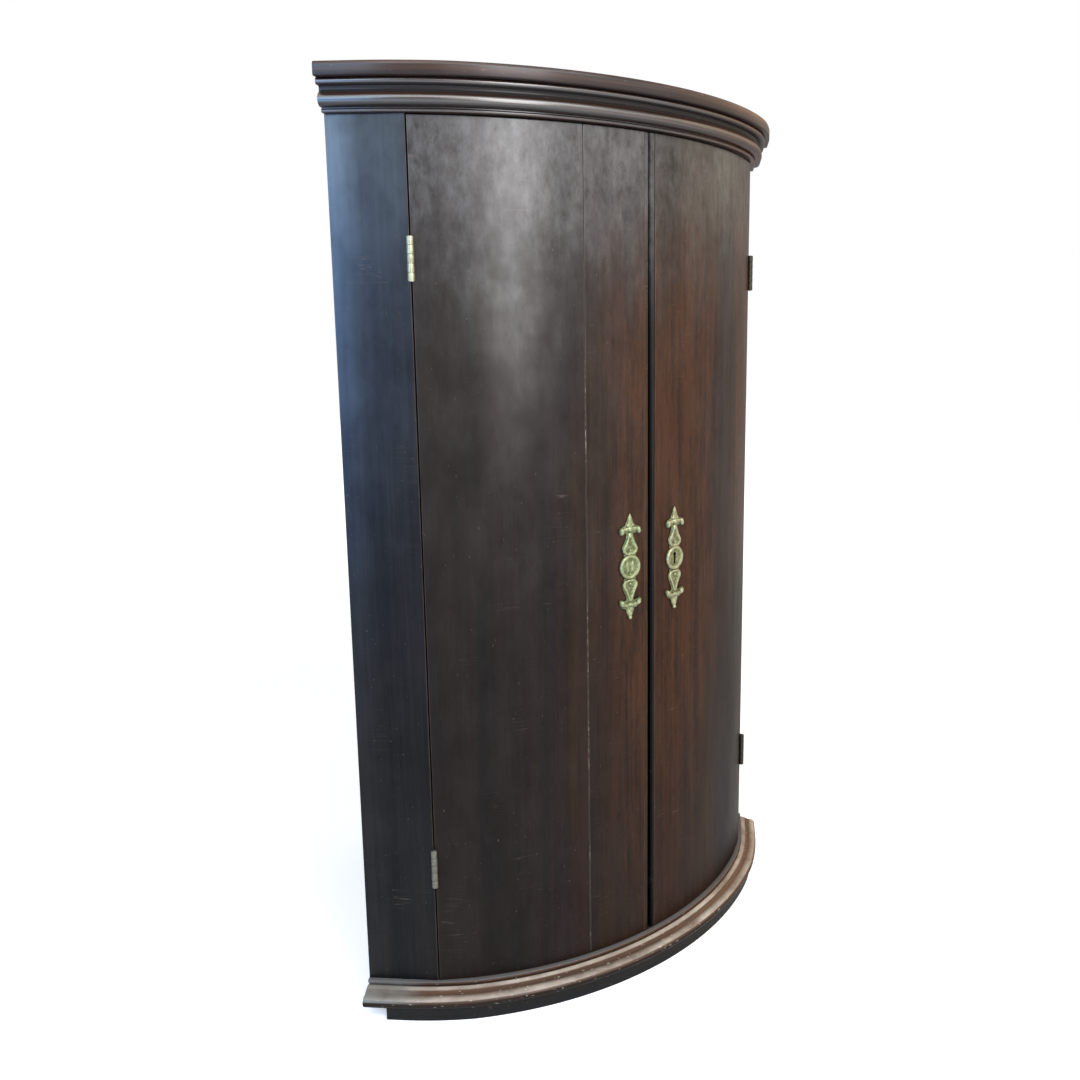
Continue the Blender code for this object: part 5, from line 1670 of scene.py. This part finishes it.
@dataclass(frozen=True)
class Doors:
    """The pair of bowed doors: boards bent round the front, notched for the hinges, with edge beads."""

    hinges: HingeRun
    keyhole: Keyhole
    rounding: float = 0.00045
    meeting_gap: float = 0.002
    meeting_gap_foot: float = 0.0055
    left_bead: float = 0.0055
    right_bead: float = 0.0085
    bead_rounding: float = 0.0005
    bead_ease: float = 0.0004
    bead_fall: float = 0.0012
    inner_edge: float = 0.088
    crack: float = 0.00074
    filler_width: float = 0.0007
    filler_depth: float = 0.00015
    filler_short: float = 0.002
    joint: float = 0.0003
    planing: float = 0.00022

    def edge(self) -> float:
        """Distance of a door's hinge edge from the middle of the bow."""
        return FRONT.reach() - self.hinges.gap

    def planed(self, rows: Array) -> Array:
        """Depth that the plane took off: slow waves across and along the board, fading to its back.

        The depth is half the planing times one plus the product and sum of three sines, less than
        the planing everywhere.

        Args:
            rows: (distance, depth, height) of the board, (M, N, 3).

        Returns:
            The rows, with the face set back.
        """
        s, d, z = rows[..., 0], rows[..., 1], rows[..., 2]
        waves = 0.45 * np.sin(s * 74 + 1.4 * np.sin(z * 5.1)) * np.sin(z * 6.3 + 0.8)
        waves = waves + 0.3 * np.sin(s * 131 + 2.0 * np.sin(z * 3.7 + 1.0)) + 0.25 * np.sin(z * 17 + s * 23)
        return stack([s, d + self.planing * 0.5 * (1 + waves) * clip(1 - d / BOARD, 0, 1), z], -1)

    @staticmethod
    def edge_wear_and_shade(loop: Array, worn: Array) -> Array:
        """Wear and painted shade of a board: above nothing on its worn arrises, below it on its edges
        between face and back, where the shade of the gaps beside them is painted.

        Args:
            loop: (distance, depth) of its outline.
            worn: wear of each row, as a column.

        Returns:
            One share for each point of each row.
        """
        across, depth = loop.T
        end = np.minimum(np.abs(across - across.min()), np.abs(across - across.max())) < 0.0004
        inside = end & (depth > EDGE_MARGIN) & (depth < BOARD - 0.001)
        round_it = np.where(inside, -1.0, maximum(arris(loop), 0))
        return maximum(round_it[None], np.where(worn > 0, worn, -1))

    def board(self, start: float, end: float, side: int, shift: float, notch: bool) -> Shell:
        """A board of a door, from one distance round the bow to another.

        Args:
            start: lesser distance.
            end: greater distance.
            side: -1 left, 1 right.
            shift: moves the grain pattern.
            notch: whether the hinges' barrels are cleared.

        Returns:
            The surface.
        """
        barrel = array([side * self.edge(), 0.0]) if notch else None
        loop = divided(softened(box(start, end, 0.0, BOARD), self.rounding), 0.003, barrel)
        between = self.hinges.rows(0.02) if notch else np.arange(LOWEST_ROW, HIGHEST_ROW, 0.02)
        rows, worn = raised(loop, LEVELS.door_floor, LEVELS.door_top, 0.0003, between)
        places = FRONT.bent(self.planed(rows))
        board = rows + array([shift, 0.0, shift * 0.3])
        if notch:
            places = self.hinges.notched(places, side)
        return lofted(places, board, self.edge_wear_and_shade(loop, worn))

    def bead(self, side: int) -> Shell:
        """The strip along a meeting edge: flat on the left door, round-faced and tapered on the right.

        The round face falls by its full amount at both edges, as an ellipse; on the right the meeting
        edge moves over evenly from the top to the foot.

        Args:
            side: -1 left, 1 right.

        Returns:
            The surface.
        """
        width = self.left_bead if side < 0 else self.right_bead
        floor, top = LEVELS.door_floor, LEVELS.door_top
        loop = softened(box(0.0, width, 0.0, BOARD), self.bead_rounding, margin=0.0008)
        if side > 0:
            share = linspace(0, 1, 17)
            fall = self.bead_fall * (1 - np.sqrt(clip(1 - (2 * share - 1) ** 2, 0, 1)))
            face = stack([share * width, fall], -1)
            loop = anticlockwise(concatenate([face, [[width, BOARD], [0.0, BOARD]]]))
        loop = divided(loop, 0.004)
        rows, worn = raised(loop, floor, top, self.bead_ease, np.arange(LOWEST_ROW, HIGHEST_ROW, 0.04))
        across, height = rows[..., 0], rows[..., 2]
        drop = (top - height) / (top - floor)
        lean = (self.meeting_gap_foot - self.meeting_gap) * drop * (side > 0)
        moved = self.meeting_gap / 2 + width - (width - across) * (width - lean) / width
        places = FRONT.bent(stack([side * moved, rows[..., 1], height], -1))
        # Painted shade of the meeting gap on the bead's edge beside it, reaching furthest at the foot of the
        # right door, where the gap is widest.
        shaded_width = 0.2 + (0.55 if side > 0 else 0.05) * drop
        painted_shade = clip(1.6 - 1.6 * across / (shaded_width * width), 0, 1)
        wear_and_shade = self.edge_wear_and_shade(loop, worn) * (1 - painted_shade) - painted_shade
        return lofted(places, rows + array([0.6 * side, 0.1, 0.0]), wear_and_shade)

    def filler(self) -> Shell:
        """What is left of the glue in the open joint, a little below the surface.

        Returns:
            The surface.
        """
        half, short = self.filler_width / 2, self.filler_short
        corners = box(-self.inner_edge - half, -self.inner_edge + half, self.filler_depth, BOARD - 0.002)
        loop = divided(softened(corners, 0.0001, 2, 0.0001), 0.004)
        low, high = LEVELS.door_floor + short, LEVELS.door_top - short
        rows, _ = raised(loop, low, high, 0.0001, np.arange(LOWEST_ROW, HIGHEST_ROW, 0.02))
        return lofted(FRONT.bent(rows), rows, 0.0)

    def build(self) -> None:
        """Makes and dresses both doors."""
        left, right, slot, finish = Body.LEFT_DOOR, Body.RIGHT_DOOR, Slot.DOORS, Finish.DOOR
        edge, crack, gap = self.edge(), self.crack / 2, self.meeting_gap / 2 + self.joint
        outer = [self.board(-edge, -self.inner_edge - crack, -1, 0.0, True)]
        nodes = ("left_door_outer_stave", "left_door_middle_stave")
        finished("left_door_board", outer, left, slot, finish, *nodes)
        inner = [self.board(-self.inner_edge + crack, -gap - self.left_bead, -1, 0.35, False)]
        finished("left_door_inner_board", inner, left, slot, finish, "left_door_inner_stave")
        finished("left_door_open_joint", [self.filler()], left, slot, Finish.FILLER)
        finished("left_door_bead", [self.bead(-1)], left, slot, finish, "left_door_edge_bead")
        board = mesh_object("right_door_board", [self.board(gap + self.right_bead, edge, 1, 1.4, True)])
        height = LEVELS.opening_floor + PLATE_HEIGHT
        carve(board, self.keyhole.cutter(FRONT.facing(PLATE_OFFSETS[1], FRONT.radius, height)))
        nodes = tuple(f"right_door_{word}_stave" for word in ("inner", "middle", "outer"))
        dress(board, right, slot, finish, *nodes)
        finished("right_door_bead", [self.bead(1)], right, slot, Finish.BEAD, "right_door_edge_bead")


@dataclass(frozen=True)
class Screw:
    """A countersunk screw's head: two half discs either side of its slot."""

    radius: float = 0.0026
    slot: float = 0.0007
    sunk: float = 0.0006
    rise: float = 0.00008
    edge: float = 0.00005
    bevel: float = 0.00006

    def shells(self, place: Place, turn: float) -> list[Shell]:
        """The two halves, turned by an angle about the third axis.

        Args:
            place: axes on the plate's face, the third straight out.
            turn: of the slot.

        Returns:
            Two closed surfaces.
        """
        start = asin(self.slot / 2 / self.radius)
        span = linspace(start, pi - start, 15)
        levels = array([-self.sunk, self.rise - self.edge, self.rise])
        insets = array([0, 0, self.bevel])
        made = []
        for way in (0.0, pi):
            rows = prism(anticlockwise(polar(self.radius, span + turn + way)), levels, insets)
            made.append(lofted(place.put(rows), rows, array([[0.1], [0.9], [0.9]])))
        return made


@dataclass(frozen=True)
class Hinges:
    """Four brass butts: knuckles with rounded rims, leaves let into the edges, screws and pins."""

    run: HingeRun
    screw: Screw
    knuckles: int = 5
    knuckle_gap: float = 0.0003
    rim: float = 0.00035
    leaf: float = 0.0018
    leaf_depth: float = 0.0155
    leaf_ease: float = 0.0002
    leaf_round: float = 0.0006
    split: float = 0.0003
    pin: float = 0.0015
    pin_head: float = 1.35
    pin_proud: float = 0.0006
    screw_pitch: float = 0.0155

    def place(self, side: int, height: float) -> Place:
        """Axes on the pin: first from the stile towards the door, second along it, third straight out.

        Args:
            side: -1 left, 1 right.
            height: of the hinge's middle.

        Returns:
            The place.
        """
        place = FRONT.facing(side * self.run.along(), FRONT.radius + self.run.proud, height)
        return place if side < 0 else place.reordered(-1, -2, 3)

    def knuckle(self, place: Place, index: int) -> Shell:
        """One knuckle, a short cylinder with rounded rims about the pin.

        Args:
            place: axes on the pin.
            index: counted from the foot.

        Returns:
            The surface.
        """
        pitch = (self.run.length + self.knuckle_gap) / self.knuckles
        low = -self.run.length / 2 + index * pitch
        high, tiny, side = low + pitch - self.knuckle_gap, self.run.barrel * TINY, self.run.barrel - self.rim
        lower = arc(side, low + self.rim, self.rim, -90, 0, 4)
        upper = arc(side, high - self.rim, self.rim, 0, 90, 4)
        profile = concatenate([[[tiny, low]], lower, upper, [[tiny, high]]])
        return turned(profile, place.reordered(1, -3, 2), 32)

    def plate(self, place: Place, towards: int) -> Shell:
        """A leaf, and the tongue by which it reaches the barrel.

        Args:
            place: axes on the pin.
            towards: -1 for the stile, 1 for the door.

        Returns:
            The surface.
        """
        half, inner = self.run.length / 2, towards * self.split / 2
        corners = box(-half, half, -self.run.proud - self.leaf_depth, -self.run.barrel * 0.4)
        span, shift = tuple(sorted((inner, inner + towards * self.leaf))), (0.3, 0.0, 0.0)
        flat = place.reordered(2, 3, 1)
        return slab(corners, span, self.leaf_ease, self.leaf_round, flat, shift, spacing=0.01)

    def leaf_shells(self, place: Place, towards: int) -> list[Shell]:
        """A leaf with its knuckles and its three screws.

        Args:
            place: axes on the pin.
            towards: -1 for the stile, 1 for the door.

        Returns:
            The closed surfaces.
        """
        shells = [self.plate(place, towards)]
        shells += [self.knuckle(place, index) for index in range(0 if towards < 0 else 1, self.knuckles, 2)]
        face = place.reordered(-3 * towards, 2, -towards)
        for number, share in enumerate((0.62, 0.45, 0.62)):
            across = towards * (self.run.proud + self.leaf_depth * share)
            spot = face.put([across, (number - 1) * self.screw_pitch, -self.split / 2])
            shells += self.screw.shells(Place(spot, face.axes), 0.4 + 1.3 * number + towards)
        return shells

    def pin_shell(self, place: Place) -> Shell:
        """The pin, its two ends riveted over to low domes.

        Args:
            place: axes on the pin.

        Returns:
            The surface.
        """
        half, turn = self.run.length / 2, linspace(0, pi / 2, 6)
        across = self.pin * self.pin_head * np.cos(turn) + HAIR
        top = stack([across, half + self.pin_proud * np.sin(turn)], -1)
        foot = top[::-1] * array([1.0, -1.0])
        profile = concatenate([foot, [[self.pin, -half], [self.pin, half]], top])
        return turned(profile, place.reordered(1, -3, 2), 20)

    def build(self) -> None:
        """Makes and dresses the four hinges: pale at the upper left, in painted shade below it and in
        deeper painted shade at the right.
        """
        finishes = {"left_lower": Finish.SHADED_HINGE, "left_upper": Finish.HINGE}
        for (side, word), door in zip(SIDES, (Body.LEFT_DOOR, Body.RIGHT_DOOR)):
            for level, height in zip(("lower", "upper"), self.run.heights()):
                name, place = f"{word}_{level}", self.place(side, height)
                finish = finishes.get(name, Finish.DARK_HINGE)
                for part, shells, body, node in (
                    ("stile_leaf", self.leaf_shells(place, -1), Body.CARCASE, "fixed_leaf"),
                    ("moving_leaf", self.leaf_shells(place, 1), door, "door_leaf"),
                    ("pin", [self.pin_shell(place)], Body.CARCASE, "pin"),
                ):
                    finished(f"{name}_{part}", shells, body, Slot.HINGES, finish, f"{name}_hinge_{node}")


@dataclass(frozen=True)
class Escutcheon:
    """A cast plate: a ring about the keyhole, a hollow leaf above and below it, lobes and spires.

    Its outline is one quarter's (share of length, share of width), a leaf's is in metres, and a section
    is (share of the outline's size, height, wear) from the foot to the middle.
    """

    keyhole: Keyhole
    half_length: float = 0.0645
    half_width: float = 0.0155
    thickness: float = 0.0016
    ring_rise: float = 0.0004
    ring_radius: float = 0.015
    leaf_centre: float = 0.0225
    outline: tuple[Pair, ...] = (
        (0.2, 0.58), (0.25, 0.56), (0.32, 0.72), (0.38, 0.7), (0.48, 0.5), (0.58, 0.34), (0.625, 0.32),
        (0.635, 0.55), (0.6, 0.8), (0.63, 0.96), (0.69, 1.0), (0.745, 0.86), (0.775, 0.6), (0.785, 0.42),
        (0.82, 0.38), (0.9, 0.24), (0.97, 0.1), (1.0, 0.0),
    )
    leaf_outline: tuple[Pair, ...] = (
        (0.0145, 0.005), (0.016, 0.0083), (0.0185, 0.0104), (0.0215, 0.0112), (0.025, 0.01),
        (0.029, 0.0074), (0.033, 0.0052), (0.037, 0.0038), (0.0405, 0.003), (0.0425, 0.0012),
    )
    leaf_section: tuple[Colour, ...] = (
        (1.0, 0.0, 0.0), (1.0, 0.001, 0.1), (0.97, 0.0021, 0.5), (0.91, 0.0029, 0.95), (0.83, 0.0032, 1.0),
        (0.74, 0.003, 0.9), (0.64, 0.0024, 0.45), (0.52, 0.0019, 0.15), (0.36, 0.0017, 0.05),
        (0.02, 0.0017, 0.1),
    )
    ring_section: tuple[Colour, ...] = (
        (1.0, 0.0, 0.0), (1.0, 0.001, 0.1), (0.985, 0.0019, 0.5), (0.95, 0.0028, 0.9), (0.89, 0.0034, 1.0),
        (0.81, 0.0034, 1.0), (0.74, 0.0029, 0.7), (0.68, 0.0021, 0.2), (0.64, 0.0017, 0.0),
        (0.56, 0.0016, 0.1),
    )
    ring_field: tuple[Colour, ...] = ((0.35, 0.0017, 0.25), (0.02, 0.0017, 0.25))

    @staticmethod
    def whole(quarter: Array, up: int, spacing: float, shared: int) -> Array:
        """An outline mirrored across the plate's middle and smoothed round, each point averaged with its
        three neighbours on either side by a bell curve.

        Args:
            quarter: (along, across) points of its right side.
            up: 1 above the ring, -1 below.
            spacing: between its points.
            shared: how many points stand on the middle itself.

        Returns:
            The loop, anticlockwise.
        """
        right = quarter[:, ::-1]
        left = flipped(right[: len(right) - shared][::-1])
        loop = divided(anticlockwise(concatenate([right, left]) * array([1.0, up])), spacing)
        weights = np.exp(-0.5 * (np.arange(-3, 4) / 1.3) ** 2)
        rolled = stack([np.roll(loop, k, axis=0) for k in range(-3, 4)])
        return np.tensordot(weights / weights.sum(), rolled, axes=1)

    def ground(self, place: Place, up: int) -> Shell:
        """Half the plate itself, from under the ring to its end, rising to a low crown.

        Args:
            place: the plate's axes.
            up: 1 above the ring, -1 below.

        Returns:
            The surface.
        """
        quarter = array(self.outline) * array([self.half_length, self.half_width])
        levels, insets = array([0.0, 0.0007, 0.0011, 0.0013]), array([0.0, 0.0, 0.0002, 0.0006])
        rows = prism(self.whole(quarter, up, 0.0006, 1), levels, insets)
        return lofted(place.put(rows), rows, array([[0.0], [0.1], [0.1], [0.0]]))

    @staticmethod
    def medallion(place: Place, loop: Array, centre: Pair, section: Array) -> Shell:
        """A cast boss: an outline drawn in towards a centre while it rises and falls by a section.

        Args:
            place: the plate's axes.
            loop: outline, anticlockwise, (N, 2).
            centre: the point that it draws in to.
            section: (share of size, height, wear) rows, (M, 3).

        Returns:
            The surface.
        """
        section, middle = array(section), array(centre)
        rows = lifted(middle + (loop - middle)[None] * section[:, 0, None, None], section[:, 1:2])
        return lofted(place.put(rows), rows, section[:, 2:])

    @staticmethod
    def oval(centre: Pair, width: float, height: float, sides: int, lean: float = 0.0) -> Array:
        """An oval's outline: a circle's cosine and sine times two half sizes, leaned over by an angle."""
        turn, c, s = around(sides), cos(lean), sin(lean)
        return array(centre) + polar(1.0, turn) * array([width, height]) @ array([[c, s], [-s, c]])

    def lump(
        self, place: Place, middle: Pair, size: Pair, rise: float, sides: int = 20, lean: float = 0.0
    ) -> Shell:
        """A rounded oval lump: its height is the rise times the sine of the way in from its edge.

        Args:
            place: the plate's axes.
            middle: of the lump.
            size: half its width and half its height.
            rise: above half the plate's thickness.
            sides: of its outline.
            lean: angle that it leans by.

        Returns:
            The surface.
        """
        turn = linspace(0, pi / 2, 8)
        height = self.thickness * 0.5 + rise * np.sin(turn)
        section = stack([maximum(np.cos(turn), TINY), height, np.sin(turn)], -1)
        loop = self.oval(middle, *size, sides, lean)
        return self.medallion(place, loop, middle, concatenate([[[1.0, 0.0, 0.0]], section]))

    def ring(self, place: Place, pierced: bool) -> Shell:
        """The ring: a broad round rim about a flat field, which is solid or pierced for the key.

        Where it is pierced, the rows of the field turn from the oval into the keyhole's outline, taken
        at the same angles, and go down through the plate and back under it to the foot.

        Args:
            place: the plate's axes.
            pierced: whether there is a keyhole.

        Returns:
            The surface.
        """
        sides, centre = 96, (0.0, self.ring_rise)
        rim, middle = self.oval(centre, self.ring_radius, self.ring_radius, sides), array(centre)
        if not pierced:
            return self.medallion(place, rim, centre, self.ring_section + self.ring_field)
        section = array(self.ring_section)
        plan = middle + (rim - middle)[None] * section[:, 0, None, None]
        hole = self.keyhole.round_rows(around(sides))
        half = (plan[-1] + hole * 1.15) / 2
        plan = concatenate([plan, stack([half, hole * 1.1, hole, hole])])
        height = concatenate([section[:, 1], [0.0017, 0.0017, 0.0014, 0.0]])
        wear_and_shade = concatenate([section[:, 2], [0.25, 0.5, 0.2, 0.0]])
        rows = lifted(plan, height[:, None])
        return lofted(place.put(rows), rows, wear_and_shade[:, None], ring=True)

    def leaf(self, place: Place, up: int) -> Shell:
        """A hollow leaf, widest beside the ring and drawn out to the neck, with a broad raised rim."""
        loop = self.whole(array(self.leaf_outline), up, 0.0007, 0)
        return self.medallion(place, loop, (0.0, up * self.leaf_centre), self.leaf_section)

    def stem(self, place: Place, up: int, end: float, widths: Pair, flat: float) -> Shell:
        """A straight limb up the plate's middle, tapering to its end.

        Args:
            place: the plate's axes.
            up: 1 above the ring, -1 below.
            end: distance of its end from the middle.
            widths: its half widths at both ends.
            flat: its height as a share of its width.

        Returns:
            The surface.
        """
        start, share = 0.0465, linspace(0, 1, 16)
        along = up * (start + (end - start) * share)
        path = stack([0 * share, along, 0 * share + self.thickness * 0.6], -1)
        return limb(path, widths[0] + (widths[1] - widths[0]) * share, place, flat)

    def bar(self, place: Place, up: int) -> Shell:
        """The bar between the lobes: a limb that falls away from the middle by the square of the distance.

        Args:
            place: the plate's axes.
            up: 1 above the ring, -1 below.

        Returns:
            The surface.
        """
        share = linspace(-1, 1, 21)
        along = up * (0.0466 - 0.0018 * share**2)
        path = stack([0.0112 * share, along, 0 * share + self.thickness * 0.7], -1)
        return limb(path, 0.0026 - 0.0003 * np.abs(share), place, 0.8)

    def relief(self, place: Place) -> list[Shell]:
        """What stands on the plate beside the ring, above it and below it.

        Args:
            place: the plate's axes.

        Returns:
            The closed surfaces.
        """
        made = []
        for up, lobe, lean in ((1, 0.044, 0.15), (-1, -0.0432, -0.5)):
            made += [self.leaf(place, up), self.bar(place, up)]
            made.append(self.lump(place, (0.0, up * 0.0205), (0.0022, 0.0019), 0.0028))
            made.append(self.lump(place, (0.0, up * 0.0462), (0.0043, 0.0036), 0.0034, 28))
            for side in (1, -1):
                made.append(self.lump(place, (side * 0.0121, lobe), (0.0034, 0.005), 0.0042, 32, side * lean))
                if up > 0:
                    made.append(self.lump(place, (side * 0.0033, 0.0506), (0.0024, 0.0024), 0.0026))
        made.append(self.stem(place, 1, 0.0644, (0.006, 0.0009), 0.5))
        made.append(self.stem(place, -1, 0.061, (0.0068, 0.0024), 0.42))
        made.append(self.lump(place, (0.0, -0.0618), (0.0026, 0.0026), 0.0026, 24))
        return made

    def petals(self, place: Place) -> list[Shell]:
        """The dummy's field: two upright petals either side of a groove, over a small drop.

        Args:
            place: the plate's axes.

        Returns:
            The closed surfaces.
        """
        size = (0.0027, 0.0076)
        made = [self.lump(place, (side * 0.0037, 0.0006), size, 0.0018, 32, side * -0.1) for side in (1, -1)]
        return [*made, self.lump(place, (0.0, -0.0088), (0.002, 0.0016), 0.0026)]

    def build(self) -> None:
        """Makes and dresses both plates: the left one a dummy, the right one pierced for the key."""
        radius = FRONT.radius + SEAT + self.half_width**2 / 8 / FRONT.radius
        kinds = ((Body.LEFT_DOOR, Finish.VERDIGRIS), (Body.RIGHT_DOOR, Finish.PLAIN_BRASS))
        for (side, word), offset, (body, finish) in zip(SIDES, PLATE_OFFSETS, kinds):
            place = FRONT.facing(offset, radius, LEVELS.opening_floor + PLATE_HEIGHT)
            shells = [self.ground(place, 1), self.ground(place, -1), self.ring(place, side > 0)]
            shells += self.relief(place) + (self.petals(place) if side < 0 else [])
            name, node = f"{word}_cast_escutcheon", f"{word}_escutcheon"
            finished(name, shells, body, Slot.ESCUTCHEONS, finish, node)


class Locks:
    """The lock's iron and the slide bolts' brass, which keep their CAD shapes."""

    iron: tuple[str, ...] = ("lock_case", "lock_keeper", "lock_bolt")
    brass: tuple[str, ...] = ("top_bolt", "top_bolt_plate", "bottom_bolt", "bottom_bolt_plate")

    def build(self) -> None:
        """Dresses the nodes."""
        coat_nodes(Finish.IRON, *self.iron)
        coat_nodes(Finish.BOLTS, *self.brass)


# Studio


@dataclass(frozen=True)
class Lamp:
    """A soft box: a rectangle of light aimed at the cupboard from so many degrees to the right of
    straight ahead and above level."""

    name: str
    azimuth: float
    elevation: float
    distance: float
    width: float
    height: float
    radiance: float
    colour: Colour
    target: Colour = (0.0, 0.0, 0.55)

    def build(self) -> None:
        """Makes the lamp."""
        turn, rise = radians(self.azimuth), radians(self.elevation)
        way = Vector((sin(turn) * cos(rise), -cos(turn) * cos(rise), sin(rise)))
        data = bpy.data.lights.new(self.name, "AREA")
        data.shape = "RECTANGLE"
        data.size = self.width
        data.size_y = self.height
        data.energy = self.radiance * self.width * self.height * pi
        data.color = self.colour
        made = linked(self.name, data)
        made.location = Vector(self.target) + way * self.distance
        made.rotation_mode = "QUATERNION"
        made.rotation_quaternion = way.to_track_quat("Z", "Y")


@dataclass(frozen=True)
class Studio:
    """A pale floor, a white surround, soft boxes and the camera."""

    floor_size: float = 14.0
    camera_at: Colour = (-0.8028, -1.1159, 0.8096)
    yaw: float = radians(40.821)
    pitch: float = radians(10.347)
    roll: float = radians(0.11)
    lens: float = 34.22
    shift_x: float = -0.0852
    shift_y: float = -0.0283
    surround: float = 0.25
    lamps: tuple[Lamp, ...] = (
        Lamp("window_light", -76, 3, 2.3, 0.8, 1.5, 7.0, (0.1, 0.4, 1.0)),
        Lamp("window_sky", -68, 29, 2.4, 0.8, 1.3, 4.6, (0.56, 0.78, 1.0)),
        Lamp("bow_light", -13, 20, 2.4, 0.74, 1.8, 6.2, (1.0, 0.99, 1.0)),
        Lamp("front_fill", 4, 24, 3.2, 5.0, 1.7, 1.6, (1.0, 0.985, 0.97)),
        Lamp("ceiling_strip", -20, 42, 2.6, 3.0, 0.5, 5.5, (1.0, 0.99, 0.98)),
        Lamp("right_fill", 76, 26, 3.0, 3.0, 1.6, 1.7, (1.0, 0.84, 0.56)),
        Lamp("ceiling_light", -28, 66, 2.5, 2.6, 1.5, 2.2, (1.0, 0.99, 0.98)),
    )

    @staticmethod
    def seen(tree: Tree) -> Socket:
        """1 for rays from the camera and for mirrored and refracted ones, else 0.

        Args:
            tree: the tree to build in.

        Returns:
            The share.
        """
        kinds = ("Camera", "Glossy", "Transmission")
        camera, mirrored, refracted = (tree.node("LightPath", {}, f"Is {kind} Ray") for kind in kinds)
        return camera.most(mirrored).most(refracted)

    def world(self) -> None:
        """White where it is seen, dimmer as a lamp."""
        world = bpy.data.worlds.new("studio_surround")
        world.use_nodes = True
        bpy.context.scene.world = world
        tree = Tree(world.node_tree)
        strength = self.seen(tree) * (1.0 - self.surround) + self.surround
        ground = tree.node("Background", {"Color": (1.0, 1.0, 1.0), "Strength": strength})
        tree.node("OutputWorld", {"Surface": ground})

    def floor(self) -> None:
        """A wide pale floor that takes the cupboard's shadow."""
        half = self.floor_size / 2
        mesh = bpy.data.meshes.new("studio_floor")
        corners = [(x, y, 0.0) for x, y in box(-half, half, -half, half)]
        mesh.from_pydata(corners, [], [(0, 1, 2, 3)])
        made, tree = new_material("floor_white")
        at = tree.places(own=False)
        colour = tree.shade((0.9, 0.9, 0.9), 0.985 + 0.03 * tree.noise(at, (3.0, 3.0, 3.0), 3, 0.6))
        matt = tree.node("BsdfDiffuse", {"Color": colour})
        away = tree.node("VectorMath", {0: at}, "Value", operation="LENGTH").rise(1.0, 3.2)
        strength = self.seen(tree) * (away * 0.55 + 0.45)
        glow = tree.node("Emission", {"Color": (1.0, 1.0, 1.0), "Strength": strength})
        tree.node("OutputMaterial", {"Surface": tree.node("AddShader", {0: matt, 1: glow})})
        mesh.materials.append(made)
        linked(mesh.name, mesh)

    def camera(self) -> None:
        """The camera, where the cupboard was seen from."""
        data = bpy.data.cameras.new("studio_camera")
        data.lens = self.lens
        data.sensor_width = 36.0
        data.shift_x = self.shift_x
        data.shift_y = self.shift_y
        data.clip_start = 0.02
        place = Matrix.Translation(self.camera_at)
        for axis, turn in (("Z", -self.yaw), ("X", pi / 2 - self.pitch), ("Z", -self.roll)):
            place = place @ Matrix.Rotation(turn, 4, axis)
        bpy.context.scene.camera = linked(data.name, data)
        bpy.context.scene.camera.matrix_world = place

    def build(self) -> None:
        """Sets up the whole studio."""
        self.world()
        self.floor()
        self.camera()
        for lamp in self.lamps:
            lamp.build()
        bpy.context.scene.view_settings.view_transform = "Standard"


def main() -> None:
    """Builds the studio and every sub-assembly."""
    logging.basicConfig(level=logging.INFO, format="%(name)s: %(message)s")
    Studio().build()
    hinge_run, keyhole = HingeRun(), Keyhole()
    Mouldings().build()
    Uprights(hinge_run).build()
    Carcase().build()
    Doors(hinge_run, keyhole).build()
    Hinges(hinge_run, Screw()).build()
    Escutcheon(keyhole).build()
    Locks().build()


if __name__ == "__main__":
    main()
